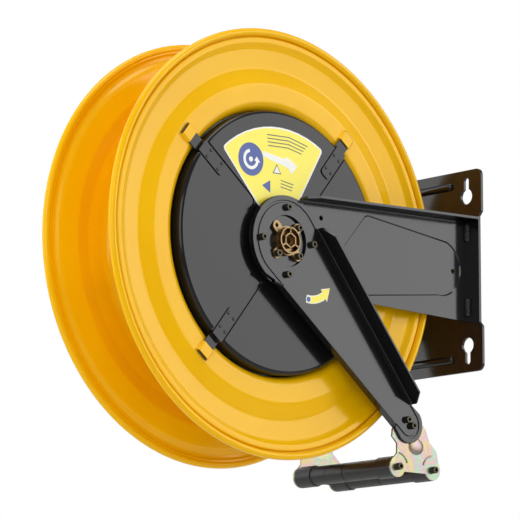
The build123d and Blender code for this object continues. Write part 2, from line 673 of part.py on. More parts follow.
def roller_half(x, z):
    """Front half of a roller: a plastic sleeve with a larger collar next to the bracket."""
    outer = -BRACKET_IN_Y + 0.5
    collar = disc(ROLLER_END_R, outer, outer + ROLLER_END_LEN, x, z)
    rims = collar.edges().filter_by(GeomType.CIRCLE)
    collar = fillet(rims, 1.2)
    sleeve = disc(ROLLER_R, outer + 1, -0.4, x, z)
    return collar + sleeve - disc(AXLE_R + RUN, outer - 1, 1, x, z)


# ---------------------------------------------------------------- stickers
def case_label():
    """Fan-shaped sticker on the front cover, between the two upper channels."""
    middle = (CLIP_ANGLES[0] + CLIP_ANGLES[1]) / 2
    half, r_in, r_out = 36.0, 60.0, 142.0
    band = Circle(r_out) - Circle(r_in)
    reach = 2 * r_out
    wedge = Polygon((0, 0), polar(reach, middle - half), polar(reach, middle), polar(reach, middle + half),
                    align=None)
    return slab(band & wedge, COVER_FRONT_Y - 0.2, COVER_FRONT_Y)


def arm_label():
    """Curved arrow sticker on the guide arm."""
    arc = CenterArc((52.0, -95.0), 40.0, 58.0, 66.0)
    band = SlotArc(arc, 11.0)
    return slab(band, -GUIDE_FACE_Y - 0.2, -GUIDE_FACE_Y)


# ---------------------------------------------------------------- write the nodes
def write_both(name, shape):
    """Write the front piece and its mirror image at the rear."""
    write(f"front_{name}", at_axis(shape))
    write(f"rear_{name}", at_axis(to_rear(shape)))


def main():
    write("wall_plate", wall_plate())
    arm = frame_arm()
    write_both("frame_arm", arm)
    beads = [weld_bead(z, 26.0, side) for z in (-48.0, 48.0) for side in (-1, 1)]
    write("arm_weld_beads", group(beads))
    write("spring_arbor", at_axis(spring_arbor()))
    write("arbor_screws", at_axis(eared_screws(ARBOR_EAR_T, ARBOR_SCREWED)))
    write("thrust_washer", at_axis(thrust_washer()))
    write("swivel_housing", at_axis(swivel_housing()))
    write("swivel_screws", at_axis(to_rear(eared_screws(SWIVEL_EAR_T, QUARTERS))))
    write("pawl_pin", at_axis(pawl_pin()))
    write("pawl_spring", at_axis(pawl_spring()))
    write("ratchet_pawl", at_axis(pawl()))

    flange_piece = front_flange()
    write("front_flange", at_axis(flange_piece))
    write("rear_flange", at_axis(to_rear_of_drum(flange_piece)))
    write("front_rim", at_axis(rim()))
    write("rear_rim", at_axis(to_rear_of_drum(rim())))
    write("drum_core", at_axis(drum_core()))
    write("front_cover", at_axis(cover(20.0)))
    rear = to_rear_of_drum(cover(14.0 + RUN))
    for angle in QUARTERS:
        x, z = polar(22.0, angle + 45)
        rear -= disc(M5_SHANK_R + RUN, COVER_REAR_Y - 20, COVER_REAR_Y + 1, x, z)
    write("rear_cover", at_axis(rear))
    plates = [retainer(a) for a in CLIP_ANGLES]
    pins = [r for a in CLIP_ANGLES for r in rivets(a)]
    write("front_retainers", at_axis(group(plates)))
    write("rear_retainers", at_axis(group([to_rear_of_drum(p) for p in plates])))
    write("front_rivets", at_axis(group(pins)))
    write("rear_rivets", at_axis(group([to_rear_of_drum(p) for p in pins])))
    write("spring_case", at_axis(spring_case()))
    write("main_spring", at_axis(main_spring()))
    write("front_bush", at_axis(front_bush()))
    write("inner_bush", at_axis(inner_bush()))
    write("fluid_shaft", at_axis(fluid_shaft()))
    write("swivel_seals", at_axis(swivel_seals()))
    write("ratchet_wheel", at_axis(ratchet_wheel()))
    write("hub_screws", at_axis(hub_screws()))
    write("feed_pipe", at_axis(feed_pipe()))
    write("hose_outlet", at_axis(hose_outlet()))
    write("case_label", at_axis(case_label()))

    write_both("guide_arm", guide_arm())
    write_both("clamp_ring", clamp_ring())
    write_both("clamp_screws", clamp_screws())
    write_both("roller_bracket", roller_bracket())
    write_both("bracket_screws", bracket_screws())
    write_both("axle_screws", axle_screws())
    write("arm_label", at_axis(arm_label()))
    for name, (x, z) in zip(("inner", "outer"), ROLLER_AXES):
        write(f"{name}_roller_axle", at_axis(roller_axle(x, z)))
        half = roller_half(x, z)
        write(f"{name}_roller_front", at_axis(half))
        write(f"{name}_roller_rear", at_axis(to_rear(half)))


main()
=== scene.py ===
import bmesh
import bpy
import json
from math import asin, cos, pi, radians, sin
from mathutils import Matrix, Vector


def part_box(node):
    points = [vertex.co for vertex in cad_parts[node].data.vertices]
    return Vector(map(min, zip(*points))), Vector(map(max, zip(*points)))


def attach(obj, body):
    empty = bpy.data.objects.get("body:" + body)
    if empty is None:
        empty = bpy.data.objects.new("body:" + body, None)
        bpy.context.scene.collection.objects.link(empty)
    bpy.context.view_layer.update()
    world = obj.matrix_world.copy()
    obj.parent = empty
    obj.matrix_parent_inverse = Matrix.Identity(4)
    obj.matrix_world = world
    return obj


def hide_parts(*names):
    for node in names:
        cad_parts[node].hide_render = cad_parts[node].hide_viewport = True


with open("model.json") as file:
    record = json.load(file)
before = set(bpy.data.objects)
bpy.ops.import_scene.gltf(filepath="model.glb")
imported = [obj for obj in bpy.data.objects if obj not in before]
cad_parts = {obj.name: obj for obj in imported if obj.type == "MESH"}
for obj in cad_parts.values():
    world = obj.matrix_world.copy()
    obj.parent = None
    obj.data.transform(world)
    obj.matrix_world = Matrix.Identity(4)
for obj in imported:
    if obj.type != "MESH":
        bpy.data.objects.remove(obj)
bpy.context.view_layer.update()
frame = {"nodes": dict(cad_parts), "record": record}

# ---------------------------------------------------------------- drum flanges
# Two discs pressed from steel sheet, with a rolled rim outside and a press radius that leads into the core.
# They are powder coated in a glossy warm yellow. Four raised bridges stand on the flat of each one.
MM = 0.001
WELD = 0.01 * MM                       # points closer than this are one point
ARC_STEP = 6.0                         # degrees between the points of a drawn arc
ROUND = 144                            # steps of a full turn of the large discs
core_low, core_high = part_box("drum_core")
rim_low, rim_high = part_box("front_rim")
rear_rim_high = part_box("rear_rim")[1]
AXIS_X = (rim_low.x + rim_high.x) / 2
FLANGE_R = (rim_high.x - rim_low.x) / 2 / MM
CORE_R = (core_high.x - core_low.x) / 2 / MM
FRONT_Y = rim_low.y / MM               # outer plane of the front rim
DRUM_MID_Y = (rim_low.y + rear_rim_high.y) / 2
BEAD_R = 4.7                           # rolled rim
SHEET = 2.0                            # drum sheet
FLAT, DISH, RISE, LAND = 4.5, 10.5, 7.5, 3.2     # depths below the rim's outer plane
FLAT_END, DISH_START, DISH_END, LAND_START = 196.0, 217.0, 241.0, 247.0     # radii where they begin
LAND_END, GROOVE_R, GROOVE = 253.4, 255.0, 6.4   # the land's outer edge, and the groove beside the bead
LAP_R = 257.5                          # the sheet's edge, which ends inside the bead
PRESS_R = 12.0                         # press radius on the winding side
CLIP_ANGLES = (51, 141, 231, 321)


def at(x, y, z):
    """A point in metres from millimetres: x and z from the drum axis, y from the middle of the frame."""
    return Vector((AXIS_X + x * MM, y * MM, z * MM))


def profile(r, y):
    """Place for a profile that is turned about the drum axis."""
    return at(r, y, 0)


def face_at(y):
    """Place for an outline seen from the front, in the plane at y."""
    return lambda x, z: at(x, y, z)


def select_only(piece):
    """Make a piece the only selected object."""
    bpy.ops.object.select_all(action="DESELECT")
    piece.select_set(True)
    bpy.context.view_layer.objects.active = piece


def draw(name, place, start, *steps):
    """Draw a wire: a step is a pair to extrude to, or a centre pair and the degrees to sweep round it."""
    normal = (place(1, 0) - place(0, 0)).cross(place(0, 1) - place(0, 0)).normalized()
    bpy.ops.object.select_all(action="DESELECT")
    bpy.ops.mesh.primitive_plane_add(size=MM)
    piece = bpy.context.object
    piece.name = piece.data.name = name
    bpy.ops.object.mode_set(mode="EDIT")
    bpy.ops.mesh.merge(type="CENTER")
    here = place(*start)
    bpy.ops.transform.translate(value=here)
    for step in steps:
        if isinstance(step[0], tuple):
            centre, sweep = place(*step[0]), radians(step[1])
            count = max(4, round(abs(step[1]) / ARC_STEP))
            bpy.ops.mesh.spin(steps=count, angle=-sweep, center=centre, axis=normal)
            here = centre + Matrix.Rotation(sweep, 3, normal) @ (here - centre)
        else:
            bpy.ops.mesh.extrude_region_move(TRANSFORM_OT_translate={"value": place(*step) - here})
            here = place(*step)
    bpy.ops.mesh.select_all(action="SELECT")
    bpy.ops.mesh.remove_doubles(threshold=WELD)
    return piece


def pick(kind, test):
    """Select in edit mode the verts, edges or faces whose middle passes the test."""
    bpy.ops.mesh.select_mode(type={"verts": "VERT", "edges": "EDGE", "faces": "FACE"}[kind])
    bpy.ops.mesh.select_all(action="DESELECT")
    mesh = bpy.context.object.data
    sketch = bmesh.from_edit_mesh(mesh)
    for part in getattr(sketch, kind):
        corners = [part.co] if kind == "verts" else [v.co for v in part.verts]
        if test(sum(corners, Vector()) / len(corners)):
            part.select_set(True)
    bmesh.update_edit_mesh(mesh)


def radius(point):
    """Distance of a point from the drum axis, in millimetres."""
    return Vector((point.x - AXIS_X, point.z)).length / MM


def close_up():
    """Join double points, point the faces outwards and leave edit mode."""
    bpy.ops.mesh.select_mode(type="VERT")
    bpy.ops.mesh.select_all(action="SELECT")
    bpy.ops.mesh.remove_doubles(threshold=WELD)
    bpy.ops.mesh.normals_make_consistent(inside=False)
    bpy.ops.object.mode_set(mode="OBJECT")


def turn(steps=ROUND, centre=None):
    """Spin the drawn profile once round an axis along Y into a closed solid."""
    bpy.ops.mesh.select_all(action="SELECT")
    bpy.ops.mesh.spin(steps=steps, angle=2 * pi, center=centre or at(0, 0, 0), axis=(0, 1, 0))
    close_up()


def thicken(travel):
    """Fill the drawn outline and extrude it, by a vector in millimetres, into a plate."""
    bpy.ops.mesh.select_all(action="SELECT")
    bpy.ops.mesh.edge_face_add()
    bpy.ops.mesh.extrude_region_move(TRANSFORM_OT_translate={"value": Vector(travel) * MM})
    close_up()


def copy_of(piece, name, change):
    """A copy with its own mesh, moved, turned or mirrored by a matrix."""
    select_only(piece)
    bpy.ops.object.duplicate()
    copy = bpy.context.object
    copy.name = copy.data.name = name
    copy.data.transform(change)
    if change.determinant() < 0:
        copy.data.flip_normals()
    return copy


def about_axis(angle):
    """Turn about the drum axis, from the wall side towards the top."""
    centre = Matrix.Translation(at(0, 0, 0))
    return centre @ Matrix.Rotation(-radians(angle), 4, "Y") @ centre.inverted()


def mirrored(middle_y):
    """Mirror through the plane at that y, in metres."""
    centre = Matrix.Translation((0, middle_y, 0))
    return centre @ Matrix.Scale(-1, 4, (0, 1, 0)) @ centre.inverted()


def combine(piece, others, operation="DIFFERENCE"):
    """Boolean other pieces into this one, and throw them away."""
    for other in others:
        tool = piece.modifiers.new(operation.lower(), "BOOLEAN")
        tool.operation, tool.solver, tool.object = operation, "EXACT", other
        select_only(piece)
        bpy.ops.object.modifier_apply(modifier=tool.name)
        bpy.data.objects.remove(other)
    return piece


def join(pieces):
    """Join pieces into the first one."""
    select_only(pieces[0])
    for piece in pieces[1:]:
        piece.select_set(True)
    bpy.ops.object.join()
    return pieces[0]


def soften(piece, width, segments=2, angle=28):
    """Round the edges that are sharper than an angle, by a width in millimetres."""
    tool = piece.modifiers.new("edges", "BEVEL")
    tool.width, tool.segments = width * MM, segments
    tool.limit_method, tool.angle_limit = "ANGLE", radians(angle)
    select_only(piece)
    bpy.ops.object.modifier_apply(modifier=tool.name)
    return piece


def fit(piece, body, slot, finish, *nodes, flat=35):
    """Shade a finished piece, give it its finish, and put it on its body in place of its CAD nodes."""
    select_only(piece)
    bpy.ops.object.shade_smooth_by_angle(angle=radians(flat))
    tool = piece.modifiers.new("flat faces", "WEIGHTED_NORMAL")
    tool.keep_sharp = True
    bpy.ops.object.modifier_apply(modifier=tool.name)
    if not piece.data.materials:
        piece.data.materials.append(finish)
    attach(piece, body)
    if nodes:
        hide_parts(*nodes)


def colour(code):
    """Linear RGBA from an sRGB hex code."""
    parts = [int(code[i:i + 2], 16) / 255 for i in (1, 3, 5)]
    return [c / 12.92 if c <= 0.04045 else ((c + 0.055) / 1.055) ** 2.4 for c in parts] + [1.0]


def add_node(tree, kind, inputs=(), **settings):
    """Add a node: inputs are values or the sockets that feed it, settings its own properties."""
    made = tree.nodes.new(kind)
    for key, value in settings.items():
        setattr(made, key, value)
    for key, value in dict(inputs).items():
        if isinstance(value, bpy.types.NodeSocket):
            tree.links.new(value, made.inputs[key])
        else:
            made.inputs[key].default_value = value
    return made


def new_finish(name):
    """An empty material with its node tree, its output and the coordinates that every pattern reads."""
    finish = bpy.data.materials.new(name)
    finish.use_nodes = True
    tree = finish.node_tree
    tree.nodes.clear()
    place = add_node(tree, "ShaderNodeTexCoord").outputs["Object"]
    return finish, tree, place


def surface(name, deep, light, cloud_mm, grain_mm, relief_mm, roughness, stretch=(1, 1, 1), **shader):
    """A finish with slow colour variation, a fine relief, and a roughness that follows both."""
    finish, tree, place = new_finish(name)
    place = add_node(tree, "ShaderNodeMapping", {"Vector": place, "Scale": stretch}).outputs[0]
    cloud = add_node(tree, "ShaderNodeTexNoise", {
        "Vector": place, "Scale": 1 / (cloud_mm * MM), "Detail": 3.0,
    })
    grain = add_node(tree, "ShaderNodeTexNoise", {
        "Vector": place, "Scale": 1 / (grain_mm * MM), "Detail": 2.0,
    })
    tone = add_node(tree, "ShaderNodeMapRange", {
        "Value": cloud.outputs[0], "From Min": 0.3, "From Max": 0.7,
    })
    mix = add_node(tree, "ShaderNodeMix", {
        0: tone.outputs[0], 6: colour(deep), 7: colour(light),
    }, data_type="RGBA")
    both = add_node(tree, "ShaderNodeMath", {0: cloud.outputs[0], 1: grain.outputs[0]}, operation="MULTIPLY")
    rough = add_node(tree, "ShaderNodeMapRange", {
        "Value": both.outputs[0], "From Min": 0.1, "From Max": 0.45,
        "To Min": roughness[0], "To Max": roughness[1],
    })
    relief = add_node(tree, "ShaderNodeBump", {"Height": grain.outputs[0], "Distance": relief_mm * MM})
    settings = {"Base Color": mix.outputs[2], "Roughness": rough.outputs[0], "Normal": relief.outputs[0]}
    settings.update({key.replace("_", " "): value for key, value in shader.items()})
    shade = add_node(tree, "ShaderNodeBsdfPrincipled", settings)
    add_node(tree, "ShaderNodeOutputMaterial", {"Surface": shade.outputs[0]})
    return finish


# Gloss powder coat, one coat over the whole drum: a slight orange peel breaks its reflections.
yellow_coat = surface(
    "signal yellow powder coat", deep="#F6B902", light="#FBC104", cloud_mm=120, grain_mm=3.2, relief_mm=0.02,
    roughness=(0.12, 0.2), Specular_IOR_Level=0.4, Specular_Tint=colour("#FFEBB8"),
)


def flange_sheet():
    """The pressed disc, from the core's edge out to the groove and back along its winding side."""
    y0, inside = FRONT_Y, CORE_R - SHEET
    turn_r, core_end = PRESS_R + SHEET, FLAT + PRESS_R + SHEET
    piece = draw(
        "front_flange_disc", profile, (inside, y0 + core_end),
        ((inside + turn_r, y0 + core_end), 90),
        (FLAT_END, y0 + FLAT), (DISH_START, y0 + DISH), (DISH_END, y0 + RISE), (LAND_START, y0 + LAND),
        (LAND_END, y0 + LAND), (GROOVE_R, y0 + GROOVE), (LAP_R, y0 + GROOVE),
        (LAP_R, y0 + GROOVE + SHEET - 0.6),
        (GROOVE_R, y0 + GROOVE + SHEET - 0.6),
        (LAND_END - 0.6, y0 + LAND + SHEET), (LAND_START + 0.6, y0 + LAND + SHEET),
        (DISH_END + 0.6, y0 + RISE + SHEET), (DISH_START, y0 + DISH + SHEET), (FLAT_END, y0 + FLAT + SHEET),
        (inside + turn_r, y0 + FLAT + SHEET),
        ((inside + turn_r, y0 + core_end), -90), (inside, y0 + core_end),
    )
    pick("verts", lambda p: FLAT_END - 1 < radius(p) < DISH_END + 3)
    bpy.ops.mesh.bevel(offset=2.6 * MM, segments=4, affect="VERTICES")
    pick("verts", lambda p: LAND_START - 1 < radius(p) < LAND_END + 1)
    bpy.ops.mesh.bevel(offset=1.3 * MM, segments=4, affect="VERTICES")
    turn()
    return piece


def bead():
    """The rolled rim, a round bead that the sheet closes on."""
    middle = (FLANGE_R - BEAD_R, FRONT_Y + BEAD_R)
    piece = draw("rolled_rim", profile, (FLANGE_R, middle[1]), (middle, 360))
    turn()
    return piece


def clip_bridge():
    """A raised bridge: an arch that spans a retainer's tongue."""
    flat = FRONT_Y + FLAT
    start_r, length, half, rise, wall = 178.0, 14.0, 11.0, 4.8, 1.6
    piece = draw(
        "bridge", lambda t, y: at(start_r, y, t), (-half, flat + 0.4), (-half + 2.4, flat - rise),
        (half - 2.4, flat - rise), (half, flat + 0.4), (half - wall, flat + 0.4),
        (half - 2.6 - wall, flat - rise + wall), (-half + 2.6 + wall, flat - rise + wall),
        (-half + wall, flat + 0.4), (-half, flat + 0.4),
    )
    pick("verts", lambda p: p.y / MM < flat - 2)
    bpy.ops.mesh.bevel(offset=1.5 * MM, segments=3, affect="VERTICES")
    thicken((length, 0, 0))
    return soften(piece, 0.4)


disc_piece, bridge = flange_sheet(), clip_bridge()
bridges = [copy_of(bridge, "bridge", about_axis(a)) for a in CLIP_ANGLES]
bpy.data.objects.remove(bridge)
front_flange = join([disc_piece, bead()] + bridges)
front_flange.name = "front_drum_flange"
rear_flange = copy_of(front_flange, "rear_drum_flange", mirrored(DRUM_MID_Y))
fit(front_flange, "drum", "yellow_enamel", yellow_coat, "front_flange", "front_rim")
fit(rear_flange, "drum", "yellow_enamel", yellow_coat, "rear_flange", "rear_rim")

# ---------------------------------------------------------------- winding core
# A rolled steel hoop between the flanges, butt welded along one line and seamed to the flanges' press radii.
# It has the same yellow coat, and one hole for the hose outlet.
SEAM = 0.5                             # depth of the seam beside each flange
OUTLET_ANGLE, OUTLET_Y, OUTLET_HOLE_R = 200, 20.0, 12.2
y_a, y_b = core_low.y / MM, core_high.y / MM
winding_core = draw(
    "winding_core", profile, (CORE_R - SHEET, y_a), (CORE_R - SEAM, y_a), (CORE_R, y_a + 1.2),
    (CORE_R, y_b - 1.2), (CORE_R - SEAM, y_b), (CORE_R - SHEET, y_b), (CORE_R - SHEET, y_a),
)
turn()
bpy.ops.object.select_all(action="DESELECT")
bpy.ops.mesh.primitive_cylinder_add(vertices=48, radius=OUTLET_HOLE_R * MM, depth=30 * MM,
                                    location=at(CORE_R, OUTLET_Y, 0), rotation=(0, pi / 2, 0))
bpy.ops.object.transform_apply(location=True, rotation=True, scale=True)
outlet_hole = bpy.context.object
outlet_hole.data.transform(about_axis(OUTLET_ANGLE))
combine(winding_core, [outlet_hole])
bpy.ops.object.select_all(action="DESELECT")
bpy.ops.mesh.primitive_cylinder_add(vertices=24, radius=1.0, depth=1.0, rotation=(pi / 2, 0, 0))
bpy.ops.object.transform_apply(location=True, rotation=True, scale=True)
seam = bpy.context.object
seam.data.transform(Matrix.Translation(at(CORE_R, (y_a + y_b) / 2, 0))
                    @ Matrix.Diagonal((0.5 * MM, (y_b - y_a - 2) * MM, 2.6 * MM, 1)))
seam.data.transform(about_axis(118))
join([winding_core, seam])
fit(winding_core, "drum", "yellow_enamel", yellow_coat, "drum_core")

# ---------------------------------------------------------------- end covers
# Shallow steel pans that close the drum's ends, pressed with a rounded edge and four radial channels.
# Their black enamel is set a little less glossy than the arms', and it mirrors what stands in front of it.
cover_low, cover_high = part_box("front_cover")
COVER_Y = cover_low.y / MM             # outer face of the front cover
COVER_R, COVER_DEPTH = (cover_high.x - cover_low.x) / 2 / MM, (cover_high.y - cover_low.y) / MM
HUB_R, EDGE_R, PAN = 20.0, 5.0, 3.0
CHANNEL_START, CHANNEL_HALF, CHANNEL = 60.0, 11.0, 1.5

# Gloss enamel on pressed steel: nearly black, with a faint peel that softens what it mirrors.
black_gloss = surface(
    "black gloss enamel", deep="#101011", light="#161617", cloud_mm=90, grain_mm=2.4, relief_mm=0.012,
    roughness=(0.1, 0.2),
)

cover_enamel = surface(
    "black cover enamel", deep="#100F10", light="#171617", cloud_mm=90, grain_mm=2.4, relief_mm=0.01,
    roughness=(0.1, 0.18), Specular_IOR_Level=0.34,
)

front_cover = draw(
    "front_end_cover", profile, (HUB_R, COVER_Y), (COVER_R - EDGE_R, COVER_Y),
    ((COVER_R - EDGE_R, COVER_Y + EDGE_R), 90), (COVER_R, COVER_Y + COVER_DEPTH),
    (COVER_R - SHEET, COVER_Y + COVER_DEPTH), (COVER_R - SHEET, COVER_Y + EDGE_R + 1),
    (COVER_R - EDGE_R, COVER_Y + PAN), (HUB_R, COVER_Y + PAN), (HUB_R, COVER_Y),
)
turn()
channel = draw(
    "channel", face_at(COVER_Y - 1), (CHANNEL_START + 4, -CHANNEL_HALF), (COVER_R + 4, -CHANNEL_HALF),
    (COVER_R + 4, CHANNEL_HALF), (CHANNEL_START + 4, CHANNEL_HALF), (CHANNEL_START, CHANNEL_HALF - 5),
    (CHANNEL_START, -CHANNEL_HALF + 5), (CHANNEL_START + 4, -CHANNEL_HALF),
)
thicken((0, 1 + CHANNEL, 0))
combine(front_cover, [copy_of(channel, "cutter", about_axis(a)) for a in CLIP_ANGLES])
bpy.data.objects.remove(channel)
soften(front_cover, 0.6)
rear_cover = copy_of(front_cover, "rear_end_cover", mirrored(DRUM_MID_Y))
fit(front_cover, "drum", "black_gloss_paint", cover_enamel, "front_cover")
fit(rear_cover, "drum", "black_gloss_paint", cover_enamel, "rear_cover")

# ---------------------------------------------------------------- retainers
# Small steel plates riveted into the covers' channels. Each has a joggled tongue that hooks under a bridge
# of the flange and ends in a black half disc beyond it. They are painted like the cover.
TONGUE_Y = FRONT_Y + FLAT - 2.8
PLATE_IN, PLATE_OUT, TONGUE_END, PLATE_HALF, PLATE_T = 118.0, 163.9, 194.0, 8.5, 1.5
END_R = 10.0                           # the tongue's rounded end, wider than the tongue
RIVET_R, RIVET_H = 2.2, 0.9
tongue = draw(
    "retainer", lambda r, y: at(r, y, -PLATE_HALF), (PLATE_IN, COVER_Y), (PLATE_OUT, COVER_Y),
    (PLATE_OUT + 1.4, TONGUE_Y), (TONGUE_END, TONGUE_Y), (TONGUE_END, TONGUE_Y + PLATE_T),
    (PLATE_OUT - 0.2, TONGUE_Y + PLATE_T), (PLATE_OUT - 1.4, COVER_Y + PLATE_T),
    (PLATE_IN, COVER_Y + PLATE_T),
    (PLATE_IN, COVER_Y),
)
thicken((0, 0, 2 * PLATE_HALF))
bpy.ops.object.mode_set(mode="EDIT")
pick("edges", lambda p: abs(radius(p) - Vector((PLATE_IN, PLATE_HALF)).length) < 0.2 and p.y < TONGUE_Y * MM)
bpy.ops.mesh.bevel(offset=5 * MM, segments=5)
bpy.ops.object.mode_set(mode="OBJECT")
end_disc = draw("tongue_end", face_at(TONGUE_Y), (TONGUE_END, -END_R), ((TONGUE_END, 0), 180),
                (TONGUE_END, -END_R))
thicken((0, PLATE_T, 0))
tongue = soften(join([tongue, end_disc]), 0.3)
bpy.ops.object.select_all(action="DESELECT")
bpy.ops.mesh.primitive_uv_sphere_add(segments=16, ring_count=10, radius=RIVET_R * MM)
rivet = bpy.context.object
rivet.data.transform(Matrix.Diagonal((1, RIVET_H / RIVET_R, 1, 1)))
heads = [copy_of(rivet, "rivet", Matrix.Translation(at(r, COVER_Y, side * 5)))
         for r in (128, 150) for side in (-1, 1)]
bpy.data.objects.remove(rivet)
heads = join(heads)
front_plates = join([copy_of(tongue, "front_cover_retainers", about_axis(a)) for a in CLIP_ANGLES])
front_heads = join([copy_of(heads, "front_retainer_rivets", about_axis(a)) for a in CLIP_ANGLES])
for spare in (tongue, heads):
    bpy.data.objects.remove(spare)
rear_plates = copy_of(front_plates, "rear_cover_retainers", mirrored(DRUM_MID_Y))
rear_heads = copy_of(front_heads, "rear_retainer_rivets", mirrored(DRUM_MID_Y))
fit(front_plates, "drum", "black_gloss_paint", cover_enamel, "front_retainers")
fit(rear_plates, "drum", "black_gloss_paint", cover_enamel, "rear_retainers")
fit(front_heads, "drum", "bare_steel", black_gloss, "front_rivets")
fit(rear_heads, "drum", "bare_steel", black_gloss, "rear_rivets")

# ---------------------------------------------------------------- case sticker
# A fan-shaped printed film on the front cover: a white edge, a yellow field, a blue disc with a turning
# arrow, two small triangles and a few ruled lines. It carries no words and no maker's sign.
DEGREES = 57.3                         # in one radian
FILM = 0.1                             # each printed layer is drawn this much above the one below it
LABEL_Y = COVER_Y - 0.05
LABEL_MID, LABEL_HALF, LABEL_IN, LABEL_OUT = 96, 36, 52.0, 142.0


def printed(name, code):
    """Screen ink on a gloss film, with the film's faint ripple."""
    return surface(name, deep=code, light=code, cloud_mm=30, grain_mm=1.5, relief_mm=0.004,
                   roughness=(0.25, 0.35))


ink_white = printed("white film", "#F4F4EE")
ink_yellow = printed("yellow ink", "#FFF04A")
ink_blue = printed("blue ink", "#2B4A9B")
ink_grey = printed("dark grey ink", "#55564A")


def on_circle(r, angle, centre=(0, 0)):
    """A point on a circle, as a pair."""
    return centre[0] + r * cos(radians(angle)), centre[1] + r * sin(radians(angle))


def inked(finish):
    """Close the drawn shape as one layer of ink."""
    thicken((0, -FILM, 0))
    bpy.context.object.data.materials.append(finish)
    return bpy.context.object


def fan(name, y, margin, corner, finish):
    """The sticker's rounded outline, drawn in by a margin."""
    half_out = LABEL_HALF - margin / LABEL_OUT * DEGREES
    half_in = LABEL_HALF - margin / LABEL_IN * DEGREES
    r_out, r_in = LABEL_OUT - margin, LABEL_IN + margin
    draw(
        name, face_at(y), on_circle(r_out, LABEL_MID - half_out), ((0, 0), 2 * half_out),
        on_circle(r_in, LABEL_MID + half_in), ((0, 0), -2 * half_in), on_circle(r_out, LABEL_MID - half_out),
    )
    corners = [at(on_circle(r, LABEL_MID + h)[0], y, on_circle(r, LABEL_MID + h)[1])
               for r, h in ((r_out, half_out), (r_out, -half_out), (r_in, half_in), (r_in, -half_in))]
    pick("verts", lambda p: min((p - c).length for c in corners) < 0.5 * MM)
    bpy.ops.mesh.bevel(offset=corner * MM, segments=6, affect="VERTICES", clamp_overlap=False)
    return inked(finish)


def plain_shape(name, y, finish, *points):
    """A straight-sided patch of ink."""
    draw(name, face_at(y), points[-1], *points)
    return inked(finish)


def dot(name, y, centre, r, finish):
    """A round patch of ink."""
    draw(name, face_at(y), (centre[0] + r, centre[1]), (centre, 360))
    return inked(finish)


layers = [
    fan("sticker_film", LABEL_Y, 0.0, 5.0, ink_white),
    fan("sticker_field", LABEL_Y - FILM, 2.0, 4.0, ink_yellow),
]
PRINT_Y, TOP_PRINT_Y = LABEL_Y - 2 * FILM, LABEL_Y - 3 * FILM
DISC_AT, DISC_R, HUB_DOT_R = on_circle(108, 117), 20.5, 3.2
TURN_IN, TURN_OUT, BARB = 8.5, 12.5, 3      # the turning arrow's radii, and how far its head stands out
TURN_TAIL, TURN_NECK, TURN_TIP = 100, 350, 385
layers.append(dot("sticker_disc", PRINT_Y, DISC_AT, DISC_R, ink_blue))
draw(
    "sticker_arrow", face_at(TOP_PRINT_Y), on_circle(TURN_IN, TURN_TAIL, DISC_AT),
    (DISC_AT, TURN_NECK - TURN_TAIL), on_circle(TURN_IN - BARB, TURN_NECK, DISC_AT),
    on_circle((TURN_IN + TURN_OUT) / 2, TURN_TIP, DISC_AT), on_circle(TURN_OUT + BARB, TURN_NECK, DISC_AT),
    on_circle(TURN_OUT, TURN_NECK, DISC_AT), (DISC_AT, TURN_TAIL - TURN_NECK),
    on_circle(TURN_IN, TURN_TAIL, DISC_AT),
)
layers.append(inked(ink_white))
layers.append(dot("sticker_hub", TOP_PRINT_Y, DISC_AT, HUB_DOT_R, ink_white))
SIGN_AT, WEDGE_AT = on_circle(88, 94), on_circle(70, 108)
for name, y, r, first, centre, ink in (
    ("sticker_sign", PRINT_Y, 8.2, 90, SIGN_AT, ink_grey),
    ("sticker_sign_field", TOP_PRINT_Y, 6.0, 90, SIGN_AT, ink_white),
    ("sticker_wedge", PRINT_Y, 9.0, 60, WEDGE_AT, ink_blue),
):
    corners = [on_circle(r, first + turned, centre) for turned in (0, 120, 240)]
    layers.append(plain_shape(name, y, ink, *corners))
SWOOSH = ((113, 105), (104, 87), (107, 84), (101, 74), (88, 78), (94, 82), (95, 87), (107, 106))
layers.append(plain_shape("sticker_swoosh", PRINT_Y, ink_white, *[on_circle(*point) for point in SWOOSH]))
LONG_LINES = [(133 - 4.5 * row, 1.3, (100, 84, 70 + row)) for row in range(4)]
SHORT_LINES = [(77 - 4.0 * row, 1.2, (90, 74)) for row in range(3)]
for r, weight, angles in LONG_LINES + SHORT_LINES:
    outline = [on_circle(r, a) for a in angles] + [on_circle(r - weight, a) for a in reversed(angles)]
    layers.append(plain_shape("sticker_line", PRINT_Y, ink_grey, *outline))
case_label = join(layers)
case_label.name = "case_sticker"
fit(case_label, "drum", "sticker", ink_white, "case_label")

# ---------------------------------------------------------------- wall plate
# A 4 mm steel plate with four keyholed tabs, cut and punched, with two pressed ribs. It is welded to the
# frame arms before all three are painted, so that paint rounds its edges a little.
plate_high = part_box("wall_plate")[1]
PLATE_FACE, PLATE_T_MM = -4.0, 4.0
TAB_Y, TAB_Z = plate_high.y / MM, plate_high.z / MM
WAIST_Y, NOTCH_Z, CORNER = 108.0, 72.0, 9.0
KEY_Y, KEY_Z, KEY_R, SLOT_R, SLOT_LEN = 87.0, 96.0, 10.0, 4.25, 20.0
NECK_ANGLE = 25.151                             # half of the entry circle that the slot cuts away
RIB_Z, RIB_HALF, RIB_W, RIB_H = 112.0, 63.0, 10.0, 4.8


def plate_at(y, z):
    """Place for an outline on the wall plate's front face."""
    return Vector((PLATE_FACE * MM, y * MM, z * MM))


